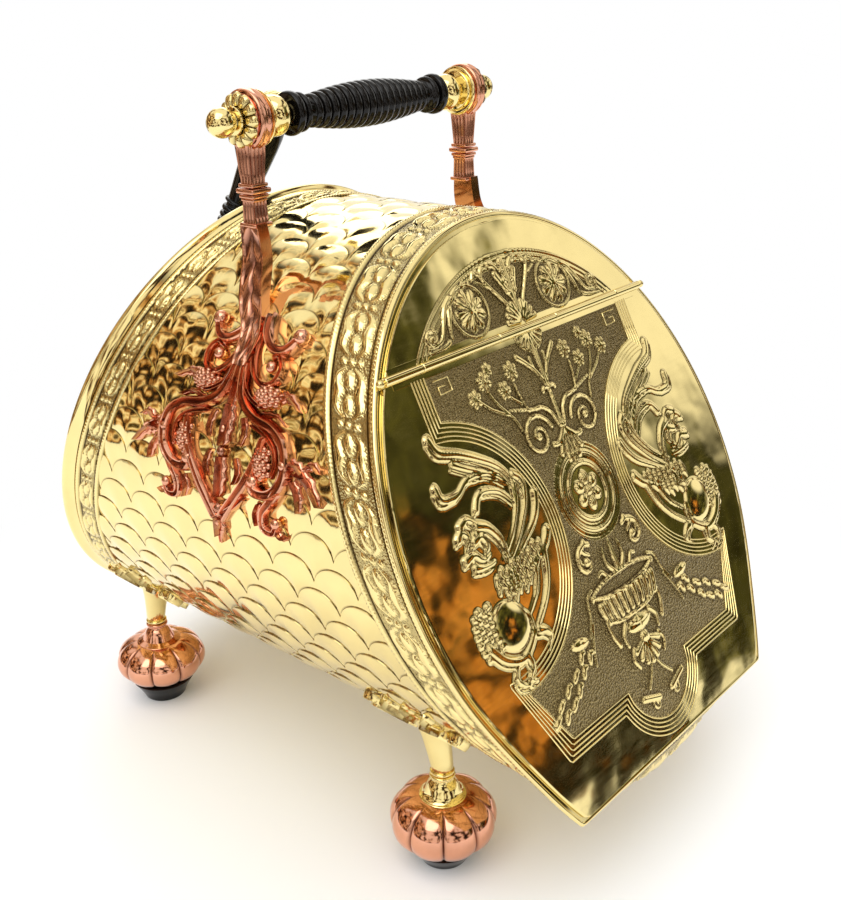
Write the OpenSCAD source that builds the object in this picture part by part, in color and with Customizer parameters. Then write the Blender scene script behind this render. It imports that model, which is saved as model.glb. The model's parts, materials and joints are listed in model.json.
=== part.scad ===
// Drum coal scuttle: a brass drum cut aslant at both ends, a sloping hinged lid, a fixed
// carrying handle on two cast arms, four bun feet, an inner coal liner and a shovel that
// stands in two straps on the back. Millimetres, +Z up, lid towards -Y, symmetric about X = 0
// apart from the leaning shovel. The origin is on the floor, at the middle of the whole box.

/* [Drum] */
// Radius of the drum
drum_r = 160; // [150:1:175]
// Height of the drum's axis above the floor
axis_h = 209; // [200:1:230]
// Distance along the axis from the hinge line to the back plane
body_len = 252.7; // [235:1:280]
// Thickness of the drum's sheet
wall = 1.5; // [1.2:0.1:2]
// Angle of the lid's plane from the horizontal
front_slope = 63; // [60:0.5:66]
// Angle by which the back leans from the vertical
back_rake = 21.9; // [18:0.1:24]
// Thickness of the back plate
back_t = 1.2; // [1:0.1:2]
// Depth of the back plate inside the rim
back_inset = 4; // [3:0.5:6]

/* [Bands and rim] */
// Width of the front band, square to the lid's plane
front_band_w = 34; // [28:1:40]
// How far the front band laps over the drum's end
band_lap = 8; // [6:1:12]
// Width of the back band, square to the back
back_band_w = 25; // [20:1:30]
// Gap between the back band and the back edge
back_band_gap = 3; // [2:0.5:5]
// Thickness of the bands
band_t = 1; // [0.8:0.1:1.5]
// Height of the bead along each edge of the bands
bead_h = 1.2; // [1:0.1:2]
// Width of each bead
bead_w = 4; // [3:0.5:6]
// How far the back rim stands out from the drum
rim_out = 5.5; // [4:0.5:8]
// Depth of the back rim
rim_depth = 9; // [7:0.5:12]

/* [Lid and lip] */
// Height of the hinge above the drum's axis
hinge_rise = 97.5; // [90:0.5:104]
// Distance down the slope from the hinge to the lip
lip_reach = 263; // [256:1:268]
// How far the lip's ends stand inside the drum's sides
lip_inset = 55; // [50:1:60]
// Distance down the slope at which the lip starts to flare
flare_from = 175; // [160:1:190]
// Thickness of the front frame
frame_t = 1.5; // [1.2:0.1:2.5]
// Width of the front frame inside the outline
frame_w = 14; // [10:1:20]
// Thickness of the lid and of the arch plate
plate_t = 1.4; // [1:0.1:2]
// Gap between the closed lid and the frame
lid_gap = 0.3; // [0.2:0.1:0.5]
// Gap between each plate's edge and the hinge line
hinge_gap = 3.6; // [3.2:0.1:5]
// Height of the embossed field above the lid
panel_t = 0.8; // [0.5:0.1:1.5]
// Radius of the medallion
medallion_r = 19; // [15:1:24]
// Distance down the slope from the hinge to the medallion
medallion_at = 104; // [98:1:110]
// Half width of the embossed field
field_half = 107; // [104:1:110]
// Height of the main embossed forms above the field
relief_t = 0.8; // [0.4:0.1:1]
// Distance down the slope from the hinge to the field's lower edge
field_low = 231; // [224:1:236]
// Distance down the slope from the hinge to the field's upper edge
field_top = 14; // [13.5:0.5:20]
// Radius of the two plain rounds beside the medallion
round_r = 77; // [72:1:82]
// Radius of the field's arched top edge on the arch plate
lunette_r = 127; // [115:1:135]
// Height of the arched field above the hinge line
lunette_top = 48; // [44:1:52]

/* [Hinge] */
// Radius of the hinge pin
pin_r = 1.4; // [1.2:0.1:1.8]
// Wall of the hinge barrel
barrel_wall = 1.3; // [1:0.1:1.8]
// Running clearance of the lid's knuckles on the pin
pin_clear = 0.05; // [0.02:0.01:0.1]
// Length of the end knuckles
end_knuckle = 30; // [20:1:40]
// Half length of the middle knuckle
mid_knuckle = 28; // [20:1:35]
// Gap between neighbouring knuckles
knuckle_gap = 0.4; // [0.3:0.1:0.6]
// Width of each hinge leaf
leaf_w = 9; // [7:0.5:12]
// Thickness of each hinge leaf
leaf_t = 0.8; // [0.6:0.1:1]

/* [Liner] */
// Thickness of the coal liner
liner_t = 1.2; // [1:0.1:2]
// Gap between the liner and the drum
liner_gap = 0.6; // [0.4:0.1:1.5]
// Height of the liner's top edge above the drum's axis
liner_top = 60; // [30:1:80]
// Distance of the liner behind the drum's front edge
liner_back = 2; // [1:0.5:8]

/* [Handle] */
// Distance of the grip's axis behind the hinge line
grip_back = 122; // [116:1:128]
// Height of the grip's axis above the hinge line
grip_rise = 125; // [118:1:132]
// Radius of the handle rod
rod_r = 4; // [3.5:0.1:5]
// Running clearance of the grip on the rod
grip_clear = 0.08; // [0.05:0.01:0.1]
// Half length of the grip
grip_half = 67; // [60:1:70]
// Largest radius of the grip's barrel
grip_r = 14.2; // [12:0.1:16]
// Radius of the grip's end discs
grip_end_r = 12.6; // [11:0.1:14]
// Number of rings on the grip
grip_rings = 17; // [13:2:19]
// Gap at each end of the grip
grip_gap = 0.4; // [0.3:0.1:1]
// Width of each inner brass bead
bead_len = 23; // [20:0.5:26]
// Radius of each inner brass bead
bead_r = 9.5; // [8:0.5:11]
// Thickness of each arm's boss
boss_t = 12; // [10:0.5:14]
// Radius of each arm's boss
boss_r = 17; // [15:0.5:19]
// Side of the arm's square knop
knop_w = 15; // [13:0.5:17]
// Side of the arm's square shaft
shaft_w = 10; // [9:0.5:12]
// Distance of the knop below the grip's axis
knop_drop = 39; // [36:0.5:42]
// Distance of the arm's foot below the grip's axis
arm_drop = 60; // [56:0.5:64]
// Radius of each rosette
rosette_r = 15.5; // [14:0.5:17]
// Thickness of each rosette
rosette_t = 3.5; // [3:0.5:5]
// Radius of each ball finial
finial_r = 8.5; // [7:0.5:10]

/* [Side brackets] */
// Distance of the side brackets' middle behind the hinge line
bracket_back = 98; // [94:1:102]
// Height of the openwork
bracket_h = 120; // [110:1:126]
// Thickness of the openwork on the drum
bracket_t = 6; // [5:0.5:8]
// Width of the leaf below the arm
leaf_arm_w = 18; // [16:0.5:20]
// Drop of the leaf's bend below the arm's foot
leaf_bend = 26; // [22:1:30]
// Width of the scroll bars
scroll_w = 6.5; // [5.5:0.5:8]

/* [Feet] */
// How far the feet's middles stand inside the drum's sides
foot_inset = 50; // [46:1:56]
// Distance of the front feet's middle behind the front band
foot_behind = 48; // [42:1:70]
// Distance of the rear feet's middle in front of the back band
foot_ahead = 12; // [11:1:30]
// How far each leg leans out along the drum, from its plate to its foot
leg_lean = 9; // [9:0.5:12]
// Height of the black base
base_h = 16; // [13:0.5:20]
// Radius of the base at the floor
base_r = 15; // [13:0.5:18]
// Radius of the base at its top
base_top_r = 23; // [20:0.5:26]
// Radius of the bun
bun_r = 33; // [29:0.5:36]
// Height of the bun
bun_h = 34; // [31:0.5:38]
// Radius of the collar's flange
collar_r = 16; // [14:0.5:18]
// Depth of the collar's seat in the top of the bun
collar_sink = 4; // [3:0.5:5]
// Height of the collar
collar_h = 20; // [17:0.5:23]
// Radius of the leg at its foot
leg_r = 7.5; // [6.5:0.5:9]
// Radius of the leg where it meets the drum
leg_top_r = 12; // [10:0.5:15]
// Length of the leg's plate along the drum
leg_plate_l = 72; // [60:1:80]
// Width of the leg's plate round the drum
leg_plate_w = 34; // [28:1:40]
// Thickness of the leg's plate
leg_plate_t = 3; // [2.5:0.5:4]
// Radius of the foot studs
stud_r = 3; // [2.5:0.1:4]
// Clearance between each stud's top and the drum
stud_clear = 13; // [8:0.5:16]

/* [Shovel] */
// Lean of the shovel across the back
shovel_lean = 14.5; // [10:0.1:18]
// Distance of the shovel's axis behind the back plane
shovel_off = 26; // [22:0.5:32]
// How far the shovel's tip stands inside the drum's side
tip_side = 68.4; // [64:0.1:74]
// How far the shovel's tip stands above the drum's bottom
tip_rise = 70.4; // [66:0.1:76]
// Length of the shovel
shovel_len = 335; // [300:1:350]
// Length of the blade
blade_len = 124; // [110:1:140]
// Width of the blade
blade_w = 92; // [80:1:96]
// Depth of the blade's tray
blade_d = 24; // [18:0.5:28]
// Thickness of the blade
blade_t = 1.6; // [1.2:0.1:2]
// Length of the turned handle
shovel_grip_len = 104; // [90:1:120]
// Largest radius of the turned handle
shovel_grip_r = 11.5; // [10:0.5:14]
// Radius of the shovel's finial
shovel_finial_r = 12; // [10:0.5:14]
// Height of the shovel's finial
shovel_finial_h = 13; // [10:0.5:16]
// Radius of the shovel's stem
stem_r = 4.5; // [4:0.5:6]
// Thickness of the straps
strap_t = 1.6; // [1.2:0.1:2]
// Height of each strap
strap_h = 12; // [8:0.5:16]
// Height of the lower strap above the blade's tip
strap_low_at = 28; // [24:1:40]
// Height of the upper strap above the blade's tip
strap_high_at = 96; // [80:1:104]
// Sliding clearance round the blade
strap_clear = 0.6; // [0.4:0.1:1]
// Width of the rest below the blade
rest_w = 40; // [30:1:50]
// Height of the rest's foot on the back plate
rest_foot = 14; // [10:1:18]

/* [Fixings] */
// Radius of the rivet heads
rivet_r = 2.2; // [1.8:0.1:3]
// Height of the rivet heads
rivet_h = 1.1; // [0.8:0.1:1.6]
// Radius of the rivets' shanks
shank_r = 1; // [0.8:0.1:1.2]
// Clearance between a rivet and what is beside it
rivet_clear = 3.4; // [2:0.2:5]

/* [Hidden] */
$fn = 96;

// Left is -X, as seen from the front, and right is +X.
LEFT = -1;
RIGHT = 1;

// A length longer than anything in the object, for cutting blocks.
far = 1000;

// The colours of the materials.
BRASS = "goldenrod";
COPPER = "peru";
BLACK = "#1c1a1a";
STEEL = "dimgray";

// How far the object reaches in front of and behind the hinge line, which puts the origin
// at the middle of its box.
lid_top = lid_gap + plate_t;
front_reach = lip_reach * cos(front_slope) + lid_top * sin(front_slope);
rim_reach = body_len + (drum_r + rim_out) * tan(back_rake) + rim_depth / cos(back_rake);
strap_out = shovel_off + blade_d / 2 + strap_clear + strap_t;
rest_up = tip_rise - drum_r;
strap_low_up = rest_up + (strap_low_at - strap_h / 2) * cos(shovel_lean);
blade_half_rise = (blade_w / 2 + strap_clear + strap_t) * sin(shovel_lean);
strap_reach = body_len + strap_out * cos(back_rake) - (strap_low_up - blade_half_rise) * sin(back_rake);
hinge_y = (front_reach - max(rim_reach, strap_reach)) / 2;
hinge_z = axis_h + hinge_rise;
back_y = hinge_y + body_len;
grip_y = hinge_y + grip_back;
grip_z = hinge_z + grip_rise;

// Everything in front is drawn in the lid's plane: X across, Y up the slope from the hinge
// line, Z out of the lid. Everything on the back has Y out of the back and Z up it.
module on_front() {
    translate([0, hinge_y, hinge_z]) rotate([front_slope, 0, 0]) children();
}
module on_back() {
    translate([0, back_y, axis_h]) rotate([back_rake, 0, 0]) children();
}

// ---------------------------------------------------------------- drum

// A block that holds all that lies behind the lid's plane, starting at the given depth.
module behind_front(depth) {
    on_front() translate([-far / 2, -far / 2, -far - depth]) cube(far);
}
// A block that holds all that lies in front of the back plane, out to the given distance.
module before_back(out) {
    on_back() translate([-far / 2, out - far, -far / 2]) cube(far);
}
module drum_axis_rod(r) {
    translate([0, 0, axis_h]) rotate([90, 0, 0]) cylinder(r = r, h = far, center = true);
}
module tube_between(r_in, r_out, depth, out) {
    intersection() {
        difference() {
            drum_axis_rod(r_out);
            drum_axis_rod(r_in);
        }
        behind_front(depth);
        before_back(out);
    }
}
// A ring round the drum between two planes that are parallel to the back.
module back_ring(r_in, r_out, out_from, out_to) {
    difference() {
        intersection() {
            drum_axis_rod(r_out);
            before_back(out_to);
            on_back() translate([-far / 2, out_from, -far / 2]) cube(far);
        }
        drum_axis_rod(r_in);
    }
}

drum_in_r = drum_r - wall;
drum_front = front_band_w - band_lap;
band_from = -back_band_gap - back_band_w;

module drum_shell() {
    color(BRASS) tube_between(drum_in_r, drum_r, drum_front, 0);
}
module back_plate() {
    color(BRASS) back_ring(0.01, drum_in_r, -back_inset - back_t, -back_inset);
}
module back_rim() {
    color(BRASS) union() {
        back_ring(drum_in_r, drum_r + rim_out / 2, 0, rim_depth * 0.45);
        back_ring(drum_in_r, drum_r + rim_out, rim_depth * 0.35, rim_depth);
    }
}
module back_band() {
    color(BRASS) union() {
        back_ring(drum_r, drum_r + band_t, band_from, -back_band_gap);
        back_ring(drum_r, drum_r + band_t + bead_h, band_from, band_from + bead_w);
        back_ring(drum_r, drum_r + band_t + bead_h, -back_band_gap - bead_w, -back_band_gap);
    }
}

// ---------------------------------------------------------------- front outline

// The angle a goes round the drum from its top. The outline follows the drum, swells to the
// corners of the lip and closes along the straight lip.
lip_drop = lip_reach * sin(front_slope) - hinge_rise;
corner_a = acos(-lip_drop / drum_r);
corner_x = drum_r * sin(corner_a);
lip_half = drum_r - lip_inset;
flare = lip_half - corner_x;

function slope_at(a) = (hinge_rise - drum_r * cos(a)) / sin(front_slope);
function flare_share(a) = max(0, (slope_at(a) - flare_from) / (lip_reach - flare_from));
// Across and up from the drum's axis, for the half from the top to the lip's middle.
function half_outline(a) = a <= corner_a
    ? [drum_r * sin(a) + flare * pow(min(1, flare_share(a)), 3), drum_r * cos(a)]
    : [lip_half * (180 - a) / (180 - corner_a), -lip_drop];
function outline(a) = a <= 180 ? half_outline(a)
    : [-half_outline(360 - a)[0], half_outline(360 - a)[1]];

outline_n = 120;
// The band's flat facets stay clear of the round drum by this much.
faceting = 0.15;
outline_step = 360 / outline_n;
outline_angles = [for (i = [0:outline_n - 1])
    abs(i * outline_step - corner_a) < outline_step / 2 ? corner_a :
    abs(i * outline_step - 360 + corner_a) < outline_step / 2 ? 360 - corner_a :
    i * outline_step];

// The same outline in the lid's plane, drawn in by a distance.
function front_point(a, inset) = let (
    p = outline(a),
    k = 1 - inset / drum_r,
    middle = -hinge_rise / sin(front_slope))
    [k * p[0], middle + k * p[1] / sin(front_slope)];

module front_outline(inset = 0) {
    polygon([for (a = outline_angles) front_point(a, inset)]);
}
module above_hinge(gap) {
    translate([-far / 2, gap]) square(far);
}
module below_hinge(gap) {
    translate([-far / 2, -far - gap]) square(far);
}

// ---------------------------------------------------------------- front band

// The band is a skin of two surfaces, each with rows of points from its rear edge to the
// frame. It lies on the drum as far as the lap and swells from there to the outline.
band_rows = 5;
swell_from = drum_front - 1;
function band_depth(k) = k == 0 ? front_band_w
    : swell_from + (frame_t - swell_from) * (k - 1) / (band_rows - 1);
function band_point(a, k, t) = let (
    share = pow(max(0, k - 1) / (band_rows - 1), 2),
    round_x = drum_r * sin(a),
    round_z = drum_r * cos(a),
    p = outline(a),
    x = round_x + (p[0] - round_x) * share,
    z = round_z + (p[1] - round_z) * share,
    grow = 1 + t / norm([x, z]),
    drop = hinge_rise - z * grow)
    [x * grow, hinge_y - drop / tan(front_slope) + band_depth(k) / sin(front_slope),
        axis_h + z * grow];

module front_band() {
    n = outline_n;
    rows = band_rows + 1;
    inner = [for (k = [0:band_rows], a = outline_angles) band_point(a, k, faceting)];
    outer = [for (k = [0:band_rows], a = outline_angles) band_point(a, k, faceting + band_t)];
    size = n * rows;
    inner_faces = [for (k = [0:band_rows - 1], i = [0:n - 1])
        [k * n + i, (k + 1) * n + i, (k + 1) * n + (i + 1) % n, k * n + (i + 1) % n]];
    outer_faces = [for (f = inner_faces) [size + f[3], size + f[2], size + f[1], size + f[0]]];
    rear_faces = [for (i = [0:n - 1]) [i, (i + 1) % n, size + (i + 1) % n, size + i]];
    last = band_rows * n;
    front_faces = [for (i = [0:n - 1])
        [last + (i + 1) % n, last + i, size + last + i, size + last + (i + 1) % n]];
    color(BRASS) polyhedron(concat(inner, outer),
        concat(inner_faces, outer_faces, rear_faces, front_faces), convexity = 6);
}

// ---------------------------------------------------------------- front frame and plates

module front_frame() {
    color(BRASS) on_front() translate([0, 0, -frame_t]) linear_extrude(frame_t) difference() {
        front_outline(-faceting - band_t);
        front_outline(frame_w);
    }
}
module arch_plate() {
    color(BRASS) on_front() difference() {
        union() {
            linear_extrude(plate_t) intersection() {
                front_outline();
                above_hinge(hinge_gap);
            }
            translate([0, 0, plate_t]) linear_extrude(panel_t) intersection() {
                translate([0, lunette_top - lunette_r]) circle(r = lunette_r);
                above_hinge(lunette_low);
            }
        }
        arch_rivet_places() translate([0, 0, -1]) cylinder(r = shank_r, h = plate_t + 2, $fn = 24);
    }
}
lunette_low = leaf_w + hinge_gap + 1;

// Rivets along the arch, and a row along each hinge leaf.
outer_rivet_y = leaf_w + hinge_gap + rivet_r + rivet_clear;
outer_rivet_a = acos((hinge_rise + outer_rivet_y * sin(front_slope)) / (drum_r - frame_w / 2));
module arch_rivet_places() {
    for (a = [-1, -0.5, 0.5, 1] * outer_rivet_a) translate([
        front_point(360 + a, frame_w / 2)[0],
        front_point(360 + a, frame_w / 2)[1], 0]) children();
}
module rivet(plate) {
    translate([0, 0, -plate]) cylinder(r = shank_r, h = plate, $fn = 24);
    intersection() {
        translate([0, 0, rivet_h - rivet_r * 1.4]) sphere(r = rivet_r * 1.4, $fn = 24);
        cylinder(r = rivet_r, h = rivet_h * 2, $fn = 24);
    }
}
module arch_rivets() {
    color(BRASS) on_front() arch_rivet_places() translate([0, 0, plate_t]) rivet(plate_t);
}

// ---------------------------------------------------------------- lid and hinge

barrel_r = pin_r + barrel_wall;
pin_out = barrel_r + 0.3;
hinge_half = drum_r * sin(acos(hinge_rise / drum_r)) - 1;
leaf_half = hinge_half - 6;
// Where one knuckle gives way to the next, from left to right.
knuckle_ends = [-hinge_half, end_knuckle - hinge_half, -mid_knuckle, mid_knuckle,
    hinge_half - end_knuckle, hinge_half];

module lid_outline(inset = 0) {
    intersection() {
        front_outline(inset);
        below_hinge(hinge_gap);
    }
}
// The raised field is drawn in at its sides round the two plain rounds, and its lower
// corners slope in.
module lid_field() {
    difference() {
        polygon([[field_half, -field_top], [field_half, -field_low * 0.8],
            [field_half - 9, -field_low], [9 - field_half, -field_low],
            [-field_half, -field_low * 0.8], [-field_half, -field_top]]);
        for (side = [LEFT, RIGHT])
            translate([side * (field_half + 3), -medallion_at]) circle(r = round_r);
    }
}
// The main embossed forms, drawn on a field 107 wide and 231 deep and then fitted to it.
module lid_forms() {
    scale([field_half / 107, field_low / 231]) for (side = [0, 1]) mirror([side, 0]) {
        // palmette under the hinge and the volute beside it
        polygon([[-1, -20], [17, -20], [6, -38], [3, -62], [-1, -62]]);
        translate([24, -62]) circle(r = 13, $fn = 16);
        // urn with its handle, and the tuft below it
        polygon([[-1, -158], [31, -158], [33, -164], [26, -181], [14, -186], [8, -194], [14, -212],
            [-1, -216]]);
        translate([24, -142]) circle(r = 11, $fn = 16);
        // festoon
        polygon([[50, -176], [66, -176], [100, -206], [94, -213], [56, -194]]);
        // winged beast
        polygon([[112, -36], [96, -50], [70, -62], [56, -84], [46, -90], [50, -118], [64, -136], [92, -164],
            [110, -166], [126, -150], [110, -140], [88, -138], [86, -112], [64, -98], [60, -84], [72, -72],
            [104, -62], [120, -62]]);
    }
}
module lid_plate() {
    color(BRASS) on_front() difference() {
        union() {
            translate([0, 0, lid_gap]) linear_extrude(plate_t) lid_outline();
            translate([0, 0, lid_top]) linear_extrude(panel_t) lid_field();
            translate([0, -medallion_at, lid_top]) cylinder(r = medallion_r, h = panel_t + relief_t);
            translate([0, 0, lid_top]) linear_extrude(panel_t + relief_t) lid_forms();
        }
        lid_rivet_places() translate([0, 0, -1]) cylinder(r = shank_r, h = plate_t + 3, $fn = 24);
    }
}
module lid_rivet_places() {
    for (i = [-2:2]) translate([i * leaf_half * 0.45, -hinge_gap - leaf_w / 2, 0]) children();
}
module lid_rivets() {
    color(BRASS) on_front() lid_rivet_places()
        translate([0, 0, lid_top + leaf_t]) rivet(plate_t + leaf_t);
}
module pin_axis() {
    translate([0, 0, pin_out]) rotate([0, 90, 0]) children();
}
// Every second knuckle belongs to the same leaf, starting at the first or the second.
module at_knuckles(first) {
    for (i = [first:2:4]) translate([knuckle_ends[i] + knuckle_gap / 2, 0, 0]) {
        $len = knuckle_ends[i + 1] - knuckle_ends[i] - knuckle_gap;
        children();
    }
}
module hinge_knuckles(first, bore) {
    at_knuckles(first) difference() {
        pin_axis() cylinder(r = barrel_r, h = $len, $fn = 48);
        translate([-1, 0, 0]) pin_axis() cylinder(r = bore, h = $len + 2, $fn = 48);
    }
}
// A leaf lies on its plate and reaches the barrel by a tongue at each of its knuckles.
module hinge_leaf(first, side, base) {
    at_knuckles(first) difference() {
        translate([0, side > 0 ? 0 : -hinge_gap - 1, base]) cube([$len, hinge_gap + 1, leaf_t]);
        translate([-1, 0, 0]) pin_axis() cylinder(r = barrel_r, h = $len + 2, $fn = 48);
    }
    translate([-leaf_half, side > 0 ? hinge_gap : -hinge_gap - leaf_w, base])
        cube([2 * leaf_half, leaf_w, leaf_t]);
}
module hinge_fixed_leaf() {
    color(BRASS) on_front() union() {
        hinge_knuckles(0, pin_r);
        hinge_leaf(0, 1, plate_t);
    }
}
module hinge_lid_leaf() {
    color(BRASS) on_front() difference() {
        union() {
            hinge_knuckles(1, pin_r + pin_clear);
            hinge_leaf(1, -1, lid_top);
        }
        lid_rivet_places() cylinder(r = shank_r, h = 10, $fn = 24);
    }
}
module hinge_pin() {
    color(BRASS) on_front() pin_axis() union() {
        cylinder(r = pin_r, h = 2 * hinge_half + 2, center = true, $fn = 48);
        for (side = [LEFT, RIGHT]) translate([0, 0, side * (hinge_half + barrel_r)])
            sphere(r = barrel_r * 0.9, $fn = 32);
    }
}

// ---------------------------------------------------------------- liner

liner_r = drum_in_r - liner_gap;
module coal_liner() {
    color(BLACK) difference() {
        liner_block();
        intersection() {
            drum_axis_rod(liner_r - liner_t);
            before_back(-back_inset - back_t - liner_gap - liner_t);
        }
    }
}
module liner_block() {
    intersection() {
        drum_axis_rod(liner_r);
        behind_front(drum_front + liner_back);
        before_back(-back_inset - back_t - liner_gap);
        translate([-far / 2, -far / 2, axis_h + liner_top - far]) cube(far);
    }
}
// ---------------------------------------------------------------- handle

boss_in = grip_half + grip_gap + bead_len;
boss_mid = boss_in + boss_t / 2;
boss_out = boss_in + boss_t;

module at_grip() {
    translate([0, grip_y, grip_z]) children();
}
// Turns a shape drawn round +Z to lie along X, pointing to one side.
module along_x(side) {
    rotate([0, side * 90, 0]) children();
}
module frustum(r1, r2, h) {
    rotate_extrude() polygon([[0, 0], [r1, 0], [r2, h], [0, h]]);
}
// A square bar that tapers between two sizes, standing on its first.
module square_taper(w1, w2, h) {
    linear_extrude(h, scale = w2 / w1) square(w1, center = true);
}
module arm(side) {
    color(COPPER) at_grip() translate([side * boss_mid, 0, 0]) difference() {
        union() {
            along_x(1) cylinder(r = boss_r - 2, h = boss_t, center = true);
            along_x(1) cylinder(r = boss_r, h = boss_t * 0.6, center = true);
            translate([0, 0, -knop_drop]) square_taper(shaft_w - 1, boss_t - 1, knop_drop - boss_r + 4);
            translate([-knop_w / 2, -knop_w / 2, -knop_drop - 1.5]) cube([knop_w, knop_w, 3]);
            translate([-knop_w / 2 + 1.5, -knop_w / 2 + 1.5, -knop_drop - 4])
                cube([knop_w - 3, knop_w - 3, 8]);
            translate([-shaft_w / 2, -shaft_w / 2, -arm_drop]) cube([shaft_w, shaft_w, arm_drop - knop_drop]);
        }
        along_x(1) cylinder(r = rod_r, h = boss_t + 2, center = true);
    }
}
module arm_left() arm(LEFT);
module arm_right() arm(RIGHT);

// The side bracket is drawn from the side: Y back from its middle, Z up from the drum's axis.
module in_side_view(side, depth) {
    translate([0, 0, axis_h]) rotate([90, 0, 90]) linear_extrude(depth) children();
}
// A smooth line through a list of points, and a bar along it that tapers between two widths.
function spot(p, i) = p[max(0, min(len(p) - 1, i))];
function between(a, b, c, d, t) = 0.5 * (2 * b + (c - a) * t
    + (2 * a - 5 * b + 4 * c - d) * t * t + (3 * b - a - 3 * c + d) * t * t * t);
function smooth(p) = concat([for (i = [0:len(p) - 2], k = [0:2])
    between(spot(p, i - 1), p[i], p[i + 1], spot(p, i + 2), k / 3)], [p[len(p) - 1]]);
module bar(points, w_from, w_to) {
    line = smooth(points);
    last = len(line) - 1;
    offsets = [for (i = [0:last]) let (d = spot(line, i + 1) - spot(line, i - 1))
        [-d[1], d[0]] / norm(d) * (w_from + (w_to - w_from) * i / last) / 2];
    polygon(concat([for (i = [0:last]) line[i] + offsets[i]],
        [for (i = [last:-1:0]) line[i] - offsets[i]]));
}
module boss_at(x, z, r) {
    translate([x, z]) circle(r = r, $fn = 32);
}
arm_foot_z = grip_z - arm_drop - axis_h;
leaf_foot = 108;
// The openwork is drawn 120 high, from 8 below the drum's axis, and then scaled to its height.
bracket_scale = bracket_h / 120;
bracket_base = drum_r * 0.7 - 112 * bracket_scale;
bar_w = scroll_w / bracket_scale;
module half_scrolls() {
    // leaf curling up from the arm's foot
    bar([[5, 112], [13, 105], [24, 101], [31, 103], [36, 108]], bar_w, bar_w * 0.6);
    boss_at(35.5, 107.5, 4);
    // volute with its boss
    bar([[3, 106], [7, 94], [15, 86], [25, 86], [30, 93]], bar_w * 0.6, bar_w * 0.7);
    bar([[30, 92], [26, 99], [19, 98]], bar_w * 0.7, bar_w * 0.5);
    boss_at(22.5, 92.5, 4.5);
    // grapes and their leaf
    boss_at(23, 77, 7);
    boss_at(31, 77, 7);
    bar([[34, 79], [44, 79], [54, 76]], 8, 3);
    // great scroll
    bar([[3, 84], [9, 75], [22, 68.5], [38, 65], [49, 58], [52.5, 48], [50, 38], [42, 32], [30, 31]],
        bar_w, bar_w);
    // grapes inside it, and the band down to the point
    boss_at(27, 49, 7);
    boss_at(28, 40, 6);
    bar([[31, 36], [24, 34], [15, 25], [5, 14], [0, 12]], bar_w * 0.8, bar_w);
    // leaves beside and below it
    bar([[50, 50], [62, 49], [73, 43], [83, 33]], bar_w * 1.5, bar_w * 0.5);
    bar([[44, 33], [37, 24], [36, 15], [46, 15]], bar_w * 0.8, bar_w * 0.5);
}
module scrolls() {
    half_scrolls();
    mirror([1, 0]) half_scrolls();
    // stem, two middle drops and the tail
    polygon([[-9, leaf_foot + 4], [9, leaf_foot + 4], [6, 90], [4, 70], [-4, 70], [-6, 90]]);
    polygon([[-4, 74], [4, 74], [6, 62], [4, 52], [-4, 52], [-6, 62]]);
    polygon([[-3, 54], [3, 54], [6, 38], [4, 20], [-4, 20], [-6, 38]]);
    boss_at(0, 16, 8);
    boss_at(0, 4, 5);
    bar([[0, 8], [0, 0], [0, -8]], 7, 3);
}
module bracket(side) {
    color(COPPER) difference() {
        union() {
            // openwork that hugs the drum
            intersection() {
                translate([side > 0 ? 0 : -far, hinge_y + bracket_back, 0])
                    in_side_view(side, far) translate([0, bracket_base]) scale(bracket_scale) scrolls();
                difference() {
                    drum_axis_rod(drum_r + bracket_t);
                    drum_axis_rod(drum_r);
                }
            }
            // leaf that carries the arm
            leaf_arm(side);
        }
        bracket_rivet_places(side) cylinder(r = shank_r, h = bracket_t * 3, center = true, $fn = 24);
    }
}
// The leaf leans from the bracket's middle back to the arm's foot, outside the drum.
module leaf_arm(side) {
    low = [side * (drum_r + bracket_t / 2) * sin(48), hinge_y + bracket_back + 1,
        axis_h + (drum_r + bracket_t / 2) * cos(48)];
    difference() {
        union() {
            hull() {
                at_grip() translate([side * boss_mid, 0, -arm_drop - 2])
                    cube([shaft_w + 3, leaf_arm_w - 2, 4], center = true);
                at_grip() translate([side * (boss_mid + 1), -3, -arm_drop - leaf_bend])
                    cube([shaft_w, leaf_arm_w, 4], center = true);
            }
            hull() {
                at_grip() translate([side * (boss_mid + 1), -3, -arm_drop - leaf_bend])
                    cube([shaft_w, leaf_arm_w, 4], center = true);
                translate(low) rotate([0, side * 48, 0])
                    cube([leaf_arm_w * 0.5, leaf_arm_w, bracket_t], center = true);
            }
        }
        drum_axis_rod(drum_r);
    }
}
module bracket_left() bracket(LEFT);
module bracket_right() bracket(RIGHT);

// Rivets stand square to the drum, each given by its place in the drawing of the openwork.
bracket_rivet_spots = [[0, 57.3], [52, 48.6], [-52, 48.6], [0, 4]];
module bracket_rivet_places(side) {
    for (spot = bracket_rivet_spots)
        translate([0, hinge_y + bracket_back + spot[0] * bracket_scale, axis_h])
            rotate([0, side * acos((bracket_base + spot[1] * bracket_scale) / drum_r), 0])
                translate([0, 0, drum_r]) children();
}
module bracket_rivets() {
    color(COPPER) for (side = [LEFT, RIGHT]) bracket_rivet_places(side)
        translate([0, 0, bracket_t]) rivet(bracket_t);
}

module rosette(side) {
    petals = 12;
    color(BRASS) at_grip() translate([side * boss_out, 0, 0]) along_x(side) difference() {
        union() {
            cylinder(r = rosette_r - 3, h = rosette_t);
            for (k = [0:petals - 1]) rotate([0, 0, k * 360 / petals])
                translate([rosette_r - 3.5, 0, 0]) cylinder(r = 3.5, h = rosette_t * 0.7, $fn = 24);
        }
        translate([0, 0, -1]) cylinder(r = rod_r, h = rosette_t + 2);
    }
}
module rosette_left() rosette(LEFT);
module rosette_right() rosette(RIGHT);

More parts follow.
